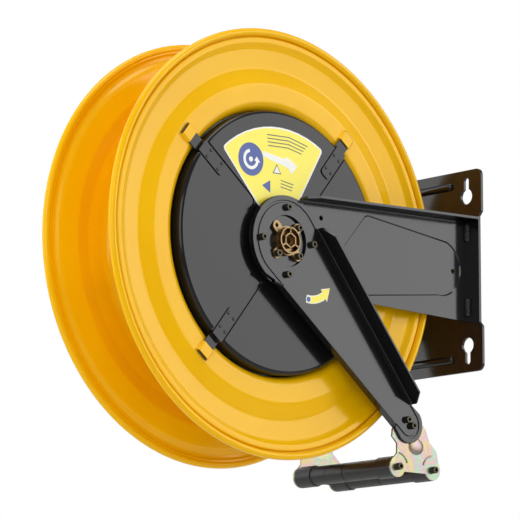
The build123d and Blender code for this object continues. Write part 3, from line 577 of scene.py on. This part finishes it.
y_c, z_c = TAB_Y - CORNER, TAB_Z - CORNER
wall_plate = draw(
    "wall_plate_steel", plate_at, (WAIST_Y, -NOTCH_Z + 4), (WAIST_Y, NOTCH_Z - 4),
    (TAB_Y, NOTCH_Z + 2), (TAB_Y, z_c),
    ((y_c, z_c), 90), (-y_c, TAB_Z), ((-y_c, z_c), 90), (-TAB_Y, NOTCH_Z + 2), (-WAIST_Y, NOTCH_Z - 4),
    (-WAIST_Y, -NOTCH_Z + 4), (-TAB_Y, -NOTCH_Z - 2), (-TAB_Y, -z_c), ((-y_c, -z_c), 90), (y_c, -TAB_Z),
    ((y_c, -z_c), 90), (TAB_Y, -NOTCH_Z - 2), (WAIST_Y, -NOTCH_Z + 4),
)
thicken((PLATE_T_MM, 0, 0))
keyholes, ribs = [], []
for side_z in (-1, 1):
    for side_y in (-1, 1):
        y, z = side_y * KEY_Y, side_z * KEY_Z
        slot_z = side_z * (KEY_Z + SLOT_LEN)
        neck_z = side_z * (KEY_Z + (KEY_R ** 2 - SLOT_R ** 2) ** 0.5)
        keyholes.append(draw(
            "keyhole", plate_at, (y + side_z * SLOT_R, neck_z), (y + side_z * SLOT_R, slot_z),
            ((y, slot_z), 180), (y - side_z * SLOT_R, neck_z), ((y, z), 360 - 2 * NECK_ANGLE),
        ))
        bpy.ops.mesh.select_all(action="SELECT")
        bpy.ops.transform.translate(value=(-2 * MM, 0, 0))
        thicken((10, 0, 0))
    bpy.ops.object.select_all(action="DESELECT")
    bpy.ops.mesh.primitive_cube_add(size=1, location=(PLATE_FACE * MM, 0, side_z * RIB_Z * MM))
    bpy.ops.transform.resize(value=(2 * RIB_H * MM, 2 * RIB_HALF * MM, RIB_W * MM))
    bpy.ops.object.transform_apply(location=True, rotation=True, scale=True)
    bpy.ops.object.mode_set(mode="EDIT")
    bpy.ops.mesh.bevel(offset=4.5 * MM, segments=6)
    bpy.ops.mesh.select_all(action="SELECT")
    bpy.ops.mesh.bisect(plane_co=(-0.5 * MM, 0, 0), plane_no=(1, 0, 0), use_fill=True, clear_outer=True)
    close_up()
    ribs.append(bpy.context.object)
combine(wall_plate, keyholes)
soften(wall_plate, 0.6)
combine(wall_plate, ribs, "UNION")
fit(wall_plate, "frame", "black_gloss_paint", black_gloss, "wall_plate")

# ---------------------------------------------------------------- frame arms
# Two arms of 3 mm steel: a tapering web with a round head, and one flange folded outwards along its top.
# A panel is pressed into each web, and four curved slots let the guide arm's clamp screws travel.
arm_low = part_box("front_frame_arm")[0]
ARM_SHEET, ARM_BACK = 3.0, -84.5
ARM_FACE = ARM_BACK - ARM_SHEET
HEAD_R = -(arm_low.x - AXIS_X) / MM
ARM_END, ARM_END_HALF = PLATE_FACE - AXIS_X / MM, 66.0
FOLD_START, FOLD_DEPTH, FOLD_START_CUT, FOLD_END_CUT = 26.0, ARM_BACK - arm_low.y / MM, 12.0, 4.5
FOLD_R = 4.2
PANEL, PANEL_LEN, PANEL_TALL = 1.6, 200, 95      # depth, and the size that its slope is reckoned from
CLAMP_R, SWING_BACK, SWING_OUT, SLOT_HALF = 41.4, 15.5, 50.5, 3.05
arm_lean = asin((ARM_END_HALF - HEAD_R) / ARM_END)
neck = on_circle(HEAD_R, 90)
fold_z = HEAD_R + FOLD_START * sin(arm_lean)


def sheet_metal(thickness):
    """Give the open folded sheet its thickness, on the inside of its folds."""
    bpy.ops.mesh.select_mode(type="VERT")
    bpy.ops.mesh.select_all(action="SELECT")
    bpy.ops.mesh.normals_make_consistent(inside=False)
    bpy.ops.object.mode_set(mode="OBJECT")
    piece = bpy.context.object
    web = max(piece.data.polygons, key=lambda f: f.area)
    tool = piece.modifiers.new("thickness", "SOLIDIFY")
    tool.thickness, tool.use_even_offset = thickness * MM, True
    tool.offset = -1 if web.normal.y > 0 else 1
    select_only(piece)
    bpy.ops.object.modifier_apply(modifier=tool.name)
    bpy.ops.object.mode_set(mode="EDIT")
    close_up()
    return piece


front_frame_arm = draw(
    "front_side_arm", face_at(ARM_BACK), neck, ((0, 0), 180),
    (ARM_END, -ARM_END_HALF), (ARM_END, ARM_END_HALF),
    (FOLD_START, fold_z), neck,
)
bpy.ops.mesh.edge_face_add()
top_middle = at((FOLD_START + ARM_END) / 2, ARM_BACK, (fold_z + ARM_END_HALF) / 2)
pick("edges", lambda p: (p - top_middle).length < MM)
bpy.ops.mesh.extrude_region_move(TRANSFORM_OT_translate={"value": (0, -FOLD_DEPTH * MM, 0)})
for x, corner in ((FOLD_START, FOLD_START_CUT), (ARM_END, FOLD_END_CUT)):
    pick("verts", lambda p: p.y < (ARM_BACK - FOLD_DEPTH + 0.1) * MM and abs(p.x - at(x, 0, 0).x) < 0.1 * MM)
    bpy.ops.mesh.bevel(offset=corner * MM, segments=1, affect="VERTICES", clamp_overlap=False)
pick("edges", lambda p: (p - top_middle).length < 2 * MM)
bpy.ops.mesh.bevel(offset=FOLD_R * MM, segments=4)
sheet_metal(ARM_SHEET)
front_frame_arm = bpy.context.object

panel = draw(
    "panel", face_at(ARM_FACE), (97, 4), (110, -55), (264, -37.5), ((268, -1.5), 168), (137, 50.5), (97, 4),
)
pick("verts", lambda p: p.x < at(150, 0, 0).x)
bpy.ops.mesh.bevel(offset=5 * MM, segments=4, affect="VERTICES")
bpy.ops.mesh.select_all(action="SELECT")
bpy.ops.mesh.edge_face_add()
bpy.ops.mesh.normals_make_consistent(inside=False)
bpy.ops.mesh.extrude_region_move(TRANSFORM_OT_translate={"value": (0, PANEL * MM, 0)})
bpy.ops.transform.resize(value=(1 - 2 * PANEL / PANEL_LEN, 1, 1 - 2 * PANEL / PANEL_TALL))
pick("faces", lambda p: p.y < (ARM_FACE + 0.1) * MM)
bpy.ops.mesh.extrude_region_move(TRANSFORM_OT_translate={"value": (0, -2 * MM, 0)})
close_up()
cutters = [panel]
for angle in (0, 90, 180, 270):
    first, last = angle + SWING_BACK, angle - SWING_OUT
    sweep = last - first
    r_in, r_out = CLAMP_R - SLOT_HALF, CLAMP_R + SLOT_HALF
    cutters.append(draw(
        "slot", face_at(ARM_FACE - 1), on_circle(r_out, first), ((0, 0), sweep),
        (on_circle(CLAMP_R, last), -180), ((0, 0), -sweep), (on_circle(CLAMP_R, first), -180),
    ))
    thicken((0, ARM_SHEET + 2, 0))
for x, z, r in ((0, 0, 14.3), (60, 36, 3.2), (291, -3.5, 3.2)):
    cutters.append(draw("hole", face_at(ARM_FACE - 1), (x + r, z), ((x, z), 360)))
    thicken((0, ARM_SHEET + 2, 0))
combine(front_frame_arm, cutters)
soften(front_frame_arm, 0.45)
rear_frame_arm = copy_of(front_frame_arm, "rear_side_arm", mirrored(0))
fit(front_frame_arm, "frame", "black_gloss_paint", black_gloss, "front_frame_arm")
fit(rear_frame_arm, "frame", "black_gloss_paint", black_gloss, "rear_frame_arm")

# ---------------------------------------------------------------- weld beads
# Short fillet welds in the corners between arms and plate: a row of overlapping ripples, painted over.
RIPPLES, RIPPLE_R, BEAD_LEN, BEAD_Z = 9, 3.6, 26.0, 48.0
WIDE, FLATTENED, LEAN = 1.3, 0.62, radians(18)
bpy.ops.object.select_all(action="DESELECT")
bpy.ops.mesh.primitive_uv_sphere_add(segments=14, ring_count=10, radius=RIPPLE_R * MM)
ripple = bpy.context.object
beads = []
for side in (-1, 1):
    for z_mid in (-BEAD_Z, BEAD_Z):
        for step in range(RIPPLES):
            z = z_mid + (step - (RIPPLES - 1) / 2) * (BEAD_LEN - 2 * RIPPLE_R) / (RIPPLES - 1)
            swell = 1 + 0.1 * sin(2.4 * step + z_mid)
            place = Matrix.Translation(((PLATE_FACE - 0.6) * MM, -side * (ARM_FACE - 0.6) * MM, z * MM))
            shape = Matrix.Diagonal((WIDE * swell, WIDE * swell, FLATTENED, 1))
            beads.append(copy_of(ripple, "weld_beads", place @ Matrix.Rotation(LEAN, 4, "Y") @ shape))
bpy.data.objects.remove(ripple)
weld_beads = join(beads)
# The welds carry the same black gloss paint as the arms and plate, but their base colour is set to a lighter
# grey: a painted glint standing in for the light their ripples catch.
weld_enamel_painted_glint = surface(
    "gloss enamel over weld, lightened as painted glint", deep="#242424", light="#343434", cloud_mm=20, grain_mm=1.5, relief_mm=0.05,
    roughness=(0.12, 0.22),
)
fit(weld_beads, "frame", "black_gloss_paint", weld_enamel_painted_glint, "arm_weld_beads")

# ---------------------------------------------------------------- guide arms
# Two long pressed arms that swing with the hose. Each is 3 mm steel with two folded flanges, the deeper one
# towards the wall, and a line pressed into the web a little inside its outline.
GUIDE_ANGLE, GUIDE_LEN, GUIDE_HEAD_R, GUIDE_END_R = -45, 292.0, 56.0, 23.5
GUIDE_BACK, GUIDE_HOLE_R = -88.0, 31.5
GUIDE_FACE = GUIDE_BACK - ARM_SHEET
DEEP, SHALLOW, FOLD_GAP, END_CUT = 24.5, 13.0, 16.0, 0.6
LINE_IN, LINE_W, LINE_DEPTH = 6.0, 3.0, 1.4
guide_lean = asin((GUIDE_HEAD_R - GUIDE_END_R) / GUIDE_LEN)


def along(y):
    """Place for an outline drawn along the guide arm: first its length, then across it towards the wall."""
    c, s = cos(radians(GUIDE_ANGLE)), sin(radians(GUIDE_ANGLE))
    return lambda u, v: at(u * c - v * s, y, u * s + v * c)


def tangent(r, at_u, side, step=0.0):
    """A point on a straight edge of the guide arm, a step on from where it touches a circle."""
    lean = guide_lean
    return (at_u + r * sin(lean) + step * cos(lean), side * (r * cos(lean) - step * sin(lean)))


def guide_outline(name, y, inset, *folds):
    """Head and end circles joined by their tangents, drawn in by an inset."""
    r_head, r_end = GUIDE_HEAD_R - inset, GUIDE_END_R - inset
    straight = (GUIDE_LEN ** 2 - (r_head - r_end) ** 2) ** 0.5
    steps = [tangent(r_head, 0, 1, run) for gap in folds for run in (gap, straight - gap)]
    back = [tangent(r_head, 0, -1, run) for gap in folds for run in (straight - gap, gap)]
    lean = guide_lean * 180 / pi
    return draw(
        name, along(y), tangent(r_head, 0, 1), *steps, tangent(r_end, GUIDE_LEN, 1),
        ((GUIDE_LEN, 0), -(180 - 2 * lean)), *back, tangent(r_head, 0, -1), ((0, 0), -(180 + 2 * lean)),
    )


front_guide_arm = guide_outline("front_swing_arm", GUIDE_BACK, 0.0, FOLD_GAP)
bpy.ops.mesh.edge_face_add()
straight_run = (GUIDE_LEN ** 2 - (GUIDE_HEAD_R - GUIDE_END_R) ** 2) ** 0.5
for side, depth in ((1, DEEP), (-1, SHALLOW)):
    edge_middle = along(GUIDE_BACK)(*tangent(GUIDE_HEAD_R, 0, side, straight_run / 2))
    pick("edges", lambda p: (p - edge_middle).length < 0.5 * MM)
    bpy.ops.mesh.extrude_region_move(TRANSFORM_OT_translate={"value": (0, -depth * MM, 0)})
    bpy.ops.mesh.select_mode(type="VERT")
    bpy.ops.mesh.bevel(offset=END_CUT * depth * MM, segments=1, affect="VERTICES", clamp_overlap=False)
    pick("edges", lambda p: (p - edge_middle).length < 0.5 * MM)
    bpy.ops.mesh.bevel(offset=FOLD_R * MM, segments=4)
front_guide_arm = sheet_metal(ARM_SHEET)
line = guide_outline("line", GUIDE_FACE - 1, LINE_IN)
bpy.ops.mesh.edge_face_add()
bpy.ops.mesh.inset(thickness=LINE_W * MM)
bpy.ops.mesh.delete(type="FACE")
bpy.ops.mesh.select_all(action="SELECT")
bpy.ops.mesh.extrude_region_move(TRANSFORM_OT_translate={"value": (0, (1 + LINE_DEPTH) * MM, 0)})
close_up()
head_hole = draw("hole", face_at(GUIDE_FACE - 1), (GUIDE_HOLE_R, 0), ((0, 0), 360))
thicken((0, ARM_SHEET + 2, 0))
combine(front_guide_arm, [line, head_hole])
soften(front_guide_arm, 0.6)
rear_guide_arm = copy_of(front_guide_arm, "rear_swing_arm", mirrored(0))
fit(front_guide_arm, "guide_arm", "black_gloss_paint", black_gloss, "front_guide_arm")
fit(rear_guide_arm, "guide_arm", "black_gloss_paint", black_gloss, "rear_guide_arm")

# ---------------------------------------------------------------- guide arm sticker
# A small curved arrow of yellow film that shows which way the guide arm swings.
ARROW_C = (38.0, -28.0)
ARROW_TAIL, ARROW_NECK, ARROW_TIP = 262, 305, 325
ARROW_R, ARROW_HALF, ARROW_BARB, ARM_FILM_Y = 40, 4.0, 4, GUIDE_FACE - 0.05
layers = []
for y, grow, ink in ((ARM_FILM_Y, 1.0, ink_white), (ARM_FILM_Y - FILM, 0.0, ink_yellow)):
    r_in, r_out, tail = ARROW_R - ARROW_HALF - grow, ARROW_R + ARROW_HALF + grow, ARROW_TAIL - grow
    draw(
        "arm_sticker", face_at(y), on_circle(r_in, tail, ARROW_C), on_circle(r_out, tail, ARROW_C),
        (ARROW_C, ARROW_NECK - tail), on_circle(r_out + ARROW_BARB, ARROW_NECK, ARROW_C),
        on_circle(ARROW_R, ARROW_TIP + grow, ARROW_C), on_circle(r_in - ARROW_BARB, ARROW_NECK, ARROW_C),
        on_circle(r_in, ARROW_NECK, ARROW_C), (ARROW_C, tail - ARROW_NECK),
    )
    layers.append(inked(ink))
tail_at = on_circle(ARROW_R, ARROW_TAIL + 4, ARROW_C)
layers.append(dot("arm_sticker_disc", ARM_FILM_Y - 2 * FILM, tail_at, 4.4, ink_white))
layers.append(dot("arm_sticker_eye", ARM_FILM_Y - 3 * FILM, tail_at, 3.2, ink_blue))
arm_label = join(layers)
arm_label.name = "swing_arrow_sticker"
fit(arm_label, "guide_arm", "sticker", ink_white, "arm_label")

# ---------------------------------------------------------------- spring arbor and swivel
# Two brass castings on the drum axis: the arbor that anchors the main spring, with an eared foot and a
# thin hexagon held by three webs in a ring, and the swivel body with the inlet nut. Both are left as cast.
cast_brass = surface(
    "cast brass", deep="#65523A", light="#A58C66", cloud_mm=9, grain_mm=1.3, relief_mm=0.08,
    roughness=(0.3, 0.5), Metallic=1.0,
)


def merged_copy(node, name):
    """A copy of a CAD node with its triangles merged back into whole faces."""
    piece = bpy.data.objects.new(name, frame["nodes"][node].data.copy())
    bpy.context.scene.collection.objects.link(piece)
    piece.data.materials.clear()
    select_only(piece)
    bpy.ops.object.mode_set(mode="EDIT")
    bpy.ops.mesh.select_all(action="SELECT")
    bpy.ops.mesh.remove_doubles(threshold=WELD)
    bpy.ops.mesh.dissolve_limited(angle_limit=radians(1))
    close_up()
    return piece


NOSE_Y, NOSE_FOOT, NOSE_R, NOSE_WALL, HEX_R = -97.5, -91.6, 16.5, 1.7, 10.0
WEB_ANGLES, WEB_HALF = (90, 210, 330), 0.8


def prism(corners, r, front, back):
    """A prism on the drum axis with one corner upwards."""
    bpy.ops.object.select_all(action="DESELECT")
    bpy.ops.mesh.primitive_cylinder_add(vertices=corners, radius=r * MM, depth=(back - front) * MM,
                                        location=at(0, (front + back) / 2, 0), rotation=(pi / 2, 0, 0))
    bpy.ops.object.transform_apply(location=True, rotation=True, scale=True)
    return bpy.context.object


def hollow(corners, r):
    """A thin walled prism that stands on the arbor's face."""
    return combine(prism(corners, r, NOSE_Y, NOSE_FOOT + 0.1),
                   [prism(corners, r - NOSE_WALL, NOSE_Y - 1, NOSE_FOOT + 1)])


arbor = combine(merged_copy("spring_arbor", "cast_arbor"), [prism(96, NOSE_R + 0.5, NOSE_Y - 1, NOSE_FOOT)])
web = draw("web", face_at(NOSE_Y), (HEX_R - 1, -WEB_HALF), (NOSE_R - 1, -WEB_HALF), (NOSE_R - 1, WEB_HALF),
           (HEX_R - 1, WEB_HALF), (HEX_R - 1, -WEB_HALF))
thicken((0, NOSE_FOOT - NOSE_Y + 0.1, 0))
webs = [copy_of(web, "web", about_axis(a)) for a in WEB_ANGLES]
bpy.data.objects.remove(web)
arbor = join([arbor, hollow(96, NOSE_R), hollow(6, HEX_R)] + webs)
fit(soften(arbor, 0.3), "frame", "cast_brass", cast_brass, "spring_arbor")
swivel = soften(merged_copy("swivel_housing", "cast_swivel"), 0.6)
fit(swivel, "frame", "cast_brass", cast_brass, "swivel_housing")

# ---------------------------------------------------------------- socket screws
# Hexagon socket cap screws in black oxide: M5 at the arbor, the swivel, the guide arms and the brackets,
# M6 in the ends of the roller axles. Each head is knurled, with a rounded top edge.
M5_R, M5_H, M6_R, M6_H = 4.25, 5.0, 4.4, 6.0
EAR_R, EAR_ANGLE = 24.5, 45
ARBOR_SEAT, SWIVEL_SEAT, HUB_SEAT = ARM_FACE - 4.0, ARM_FACE - 5.0, -(rear_rim_high.y / MM + 3.5 + 9.0)
BRACKET_SCREWS = ((202.5, -201.0), (211.0, -208.0))
ROLLER_AXES = ((189.0, -260.0), (250.5, -260.0))
black_oxide = surface(
    "black oxide steel", deep="#3A362E", light="#5A5446", cloud_mm=3, grain_mm=0.5, relief_mm=0.01,
    roughness=(0.3, 0.45), Metallic=0.85,
)


def screw_head(head_r, head_h):
    """One head that stands on y = 0 at the origin, with its socket towards -Y."""
    bpy.ops.object.select_all(action="DESELECT")
    bpy.ops.mesh.primitive_cylinder_add(vertices=48, radius=head_r * MM, depth=head_h * MM,
                                        location=(0, -head_h / 2 * MM, 0), rotation=(pi / 2, 0, 0))
    bpy.ops.object.transform_apply(location=True, rotation=True, scale=True)
    head = bpy.context.object
    bpy.ops.object.mode_set(mode="EDIT")
    flutes = {round(2 * pi * i / 24, 3) for i in range(24)}
    pick("verts", lambda p: round(Vector((p.x, p.z)).angle_signed(Vector((1, 0))) % (2 * pi), 3) in flutes)
    bpy.ops.transform.resize(value=(0.965, 1, 0.965), center_override=(0, 0, 0))
    pick("faces", lambda p: p.y < -(head_h - 0.01) * MM)
    bpy.ops.mesh.inset(thickness=0.35 * MM)
    bpy.ops.transform.translate(value=(0, -0.4 * MM, 0))
    close_up()
    bpy.ops.object.select_all(action="DESELECT")
    bpy.ops.mesh.primitive_cylinder_add(vertices=6, radius=head_r * 0.6 * MM, depth=head_h * MM,
                                        location=(0, -head_h * MM, 0), rotation=(pi / 2, 0, 0))
    bpy.ops.object.transform_apply(location=True, rotation=True, scale=True)
    return combine(head, [bpy.context.object])


def put_screws(body, head, places, seat_y, front_node, rear_node):
    """Fit one group of copies of a head at the front and one at the rear, where the record has them."""
    for node, rear in ((front_node, False), (rear_node, True)):
        if node:
            name = node + "_heads"
            group = join([copy_of(head, name, Matrix.Translation(at(x, seat_y, z))) for x, z in places])
            if rear:
                group.data.transform(mirrored(0))
                group.data.flip_normals()
            fit(group, body, "black_oxide_screws", black_oxide, node)


m5_head, m6_head = screw_head(M5_R, M5_H), screw_head(M6_R, M6_H)
quarters = (0, 90, 180, 270)
ears = [on_circle(EAR_R, EAR_ANGLE + a) for a in quarters]
put_screws("frame", m5_head, [ears[0], ears[2], ears[3]], ARBOR_SEAT, "arbor_screws", None)
put_screws("frame", m5_head, ears, SWIVEL_SEAT, None, "swivel_screws")
put_screws("drum", m5_head, [on_circle(22.0, 45 + a) for a in quarters], HUB_SEAT, None, "hub_screws")
put_screws("guide_arm", m5_head, [on_circle(CLAMP_R, a) for a in quarters], GUIDE_FACE,
           "front_clamp_screws", "rear_clamp_screws")
put_screws("guide_arm", m5_head, BRACKET_SCREWS, GUIDE_FACE, "front_bracket_screws", "rear_bracket_screws")
put_screws("guide_arm", m6_head, ROLLER_AXES, GUIDE_BACK, "front_axle_screws", "rear_axle_screws")
for spare in (m5_head, m6_head):
    bpy.data.objects.remove(spare)

# ---------------------------------------------------------------- roller brackets
# Stamped steel plates between the guide arms' ends and the rollers, stiffened by a dome and two curved
# ridges. They are zinc plated and yellow passivated, which leaves a film of drifting rainbow tints.
DOME_AT, DOME_R, DOME_H = (221.0, -233.0), 13.0, 2.6
RIDGE_R, RIDGE_TUBE = 17.5, 1.2
finish, tree, place = new_finish("yellow passivated zinc")
drift = add_node(tree, "ShaderNodeTexNoise", {"Vector": place, "Scale": 1 / (26 * MM), "Detail": 2.0,
                                              "Distortion": 1.2})
ramp = add_node(tree, "ShaderNodeValToRGB", {"Fac": drift.outputs[0]})
tints = ((0.3, "#8FA08A"), (0.42, "#A79A6C"), (0.5, "#A48A92"), (0.58, "#86A08C"), (0.68, "#ADA27A"))
while len(ramp.color_ramp.elements) < len(tints):
    ramp.color_ramp.elements.new(0.5)
for stop, (where, tint) in zip(ramp.color_ramp.elements, tints):
    stop.position, stop.color = where, colour(tint)
scratch = add_node(tree, "ShaderNodeTexNoise", {"Vector": place, "Scale": 1 / (1.1 * MM), "Detail": 3.0})
matt = add_node(tree, "ShaderNodeMapRange", {"Value": scratch.outputs[0], "To Min": 0.26, "To Max": 0.42})
relief = add_node(tree, "ShaderNodeBump", {"Height": scratch.outputs[0], "Distance": 0.02 * MM})
zinc = add_node(tree, "ShaderNodeBsdfPrincipled", {
    "Base Color": ramp.outputs[0], "Roughness": matt.outputs[0], "Normal": relief.outputs[0],
    "Metallic": 1.0,
})
add_node(tree, "ShaderNodeOutputMaterial", {"Surface": zinc.outputs[0]})
yellow_zinc = finish


def ridge(centre, start, sweep):
    """A pressed ridge: a round section spun part of the way round a roller's axis."""
    first = on_circle(RIDGE_R, start, centre)
    bpy.ops.object.select_all(action="DESELECT")
    bpy.ops.mesh.primitive_circle_add(vertices=12, radius=RIDGE_TUBE * MM, fill_type="NGON")
    bpy.ops.transform.rotate(value=radians(start), orient_axis="Y", center_override=(0, 0, 0))
    bpy.ops.transform.translate(value=at(first[0], GUIDE_BACK, first[1]))
    bpy.ops.object.transform_apply(location=True, rotation=True, scale=True)
    bpy.ops.object.mode_set(mode="EDIT")
    bpy.ops.mesh.select_all(action="SELECT")
    bpy.ops.mesh.spin(steps=14, angle=-radians(sweep), center=at(centre[0], GUIDE_BACK, centre[1]),
                      axis=(0, -1, 0))
    close_up()
    return bpy.context.object


bpy.ops.object.select_all(action="DESELECT")
bpy.ops.mesh.primitive_uv_sphere_add(segments=32, ring_count=16, radius=DOME_R * MM)
dome = bpy.context.object
dome.data.transform(Matrix.Translation(at(DOME_AT[0], GUIDE_BACK, DOME_AT[1]))
                    @ Matrix.Diagonal((1, DOME_H / DOME_R, 0.8, 1)))
ridges = [ridge(ROLLER_AXES[0], 18, 62), ridge(ROLLER_AXES[1], 100, 62)]
front_bracket = soften(merged_copy("front_roller_bracket", "front_hose_bracket"), 0.5)
front_bracket = join([front_bracket, dome] + ridges)
rear_bracket = copy_of(front_bracket, "rear_hose_bracket", mirrored(0))
fit(front_bracket, "guide_arm", "yellow_zinc", yellow_zinc, "front_roller_bracket")
fit(rear_bracket, "guide_arm", "yellow_zinc", yellow_zinc, "rear_roller_bracket")

# ---------------------------------------------------------------- hose rollers
# Moulded black nylon sleeves, two to an axle, that meet in the middle. Each has a wider collar at its
# bracket, and turns freely so that the hose runs over it without wear.
ROLLER_R, COLLAR_R, COLLAR_LEN, BORE_R = 12.0, 13.5, 27.0, 6.05
ROLLER_OUT, ROLLER_IN, ROLLER_ROUND = -85.0, -0.4, 64
MARK_OUT, MARK_Y, MARK_IN, MARK_DEPTH = -32.0, -31.4, -30.8, 0.35     # the moulding line round the sleeve
black_nylon = surface(
    "black moulded nylon", deep="#141414", light="#1D1D1D", cloud_mm=25, grain_mm=0.8, relief_mm=0.015,
    roughness=(0.3, 0.42),
)
(roller_x, roller_z), (outer_x, outer_z) = ROLLER_AXES
collar_end = ROLLER_OUT + COLLAR_LEN
roller = draw(
    "roller", lambda r, y: at(roller_x + r, y, roller_z), (BORE_R, ROLLER_OUT), (COLLAR_R, ROLLER_OUT),
    (COLLAR_R, collar_end), (ROLLER_R, collar_end + 0.6), (ROLLER_R, MARK_OUT),
    (ROLLER_R - MARK_DEPTH, MARK_Y), (ROLLER_R, MARK_IN), (ROLLER_R, ROLLER_IN),
    (BORE_R, ROLLER_IN), (BORE_R, ROLLER_OUT),
)
turn(ROLLER_ROUND, at(roller_x, 0, roller_z))
soften(roller, 0.9, 3)
to_outer = Matrix.Translation(Vector(((outer_x - roller_x) * MM, 0, (outer_z - roller_z) * MM)))
for name, change in (("inner_roller_front", Matrix.Identity(4)), ("inner_roller_rear", mirrored(0)),
                     ("outer_roller_front", to_outer), ("outer_roller_rear", to_outer @ mirrored(0))):
    sleeve = copy_of(roller, name + "_sleeve", change)
    fit(sleeve, name + "_body", "black_nylon", black_nylon, name)
bpy.data.objects.remove(roller)

# ---------------------------------------------------------------- turned and inner parts
# What shows only through the gaps: shafts, bushes, ratchet, pawl, springs, pipe and outlet. They are turned,
# stamped or wound, and keep their own shapes with the finish of each.
plated_steel = surface(
    "bright zinc plated steel", deep="#9DA1A6", light="#BFC3C6", cloud_mm=12, grain_mm=0.7, relief_mm=0.02,
    roughness=(0.25, 0.42), stretch=(1, 0.15, 1), Metallic=1.0,
)
blued_steel = surface(
    "blued spring steel", deep="#30353F", light="#4C5464", cloud_mm=15, grain_mm=0.8, relief_mm=0.01,
    roughness=(0.25, 0.4), Metallic=1.0,
)
acetal = surface(
    "natural acetal", deep="#DCDACF", light="#E9E7DD", cloud_mm=20, grain_mm=1.0, relief_mm=0.01,
    roughness=(0.35, 0.5),
)
nitrile = surface(
    "nitrile rubber", deep="#151515", light="#202020", cloud_mm=8, grain_mm=0.5, relief_mm=0.02,
    roughness=(0.6, 0.75),
)
finishes = {
    "yellow_enamel": yellow_coat, "black_gloss_paint": black_gloss, "cast_brass": cast_brass,
    "black_oxide_screws": black_oxide, "bare_steel": plated_steel, "spring_steel": blued_steel,
    "yellow_zinc": yellow_zinc, "black_nylon": black_nylon, "bush_polymer": acetal, "seal_rubber": nitrile,
    "sticker": ink_white,
}
for part in frame["record"]["subparts"]:
    node = frame["nodes"][part["node"]]
    node.data.materials.clear()
    node.data.materials.append(finishes[part["material_slot"]])

# ---------------------------------------------------------------- floor, light and camera
# A plain pale floor below the reel, soft boxes round it, and a long lens that looks up at it a little.
FLOOR_Z = -0.95
bpy.ops.object.select_all(action="DESELECT")
bpy.ops.mesh.primitive_plane_add(size=14, location=(AXIS_X, 0, FLOOR_Z))
floor = bpy.context.object
floor.name = "floor"
floor.data.materials.append(surface("pale studio floor", deep="#D9D9D7", light="#E2E2E0", cloud_mm=600,
                                    grain_mm=8, relief_mm=0.1, roughness=(0.6, 0.75)))

scene = bpy.context.scene
scene.view_settings.view_transform = "Standard"
REEL = at(0, 0, 0)


def softbox(name, direction, distance, width, height, power, tint="#FFFFFF"):
    """A rectangular area light that faces the reel from a direction."""
    data = bpy.data.lights.new(name, "AREA")
    data.shape, data.size, data.size_y = "RECTANGLE", width, height
    data.energy, data.color = power, colour(tint)[:3]
    lamp = bpy.data.objects.new(name, data)
    scene.collection.objects.link(lamp)
    lamp.location = REEL + Vector(direction).normalized() * distance
    lamp.rotation_euler = (REEL - lamp.location).to_track_quat("-Z", "Y").to_euler()
    lamp.visible_camera = False


softbox("front_right", (0.67, -0.72, 0.24), 3.0, 2.0, 1.9, 33)
softbox("front_left", (-0.78, -0.6, 0.22), 2.8, 1.8, 1.6, 24)
softbox("left_back", (-0.8, 0.5, 0.25), 2.6, 2.6, 2.6, 34)
softbox("overhead", (-0.1, -0.15, 1.0), 2.4, 2.0, 1.2, 26)
softbox("rear", (0.3, 1.0, 0.35), 3.0, 2.0, 1.6, 22)

world = bpy.data.worlds.new("studio")
scene.world = world
world.use_nodes = True
tree = world.node_tree
tree.nodes.clear()
rays = add_node(tree, "ShaderNodeLightPath")
seen = add_node(tree, "ShaderNodeBackground", {"Color": colour("#FFFFFF"), "Strength": 1.0})
ambient = add_node(tree, "ShaderNodeBackground", {"Color": colour("#FFFFFF"), "Strength": 0.36})
blend = add_node(tree, "ShaderNodeMixShader", {0: rays.outputs["Is Camera Ray"], 1: ambient.outputs[0],
                                               2: seen.outputs[0]})
add_node(tree, "ShaderNodeOutputWorld", {"Surface": blend.outputs[0]})

camera_data = bpy.data.cameras.new("camera")
camera = bpy.data.objects.new("camera", camera_data)
scene.collection.objects.link(camera)
scene.camera = camera
AZIMUTH, ELEVATION, DISTANCE = radians(-42.75), radians(-10.05), 4.377
back = Vector((sin(AZIMUTH) * cos(ELEVATION), -cos(AZIMUTH) * cos(ELEVATION), sin(ELEVATION)))
camera.location = at(0, FRONT_Y, 0) + back * DISTANCE
camera.rotation_euler = (-back).to_track_quat("-Z", "Y").to_euler()
camera_data.sensor_width, camera_data.lens = 36.0, 249.2
camera_data.shift_x, camera_data.shift_y = -0.0356, -0.0337
camera_data.clip_start, camera_data.clip_end = 0.1, 50
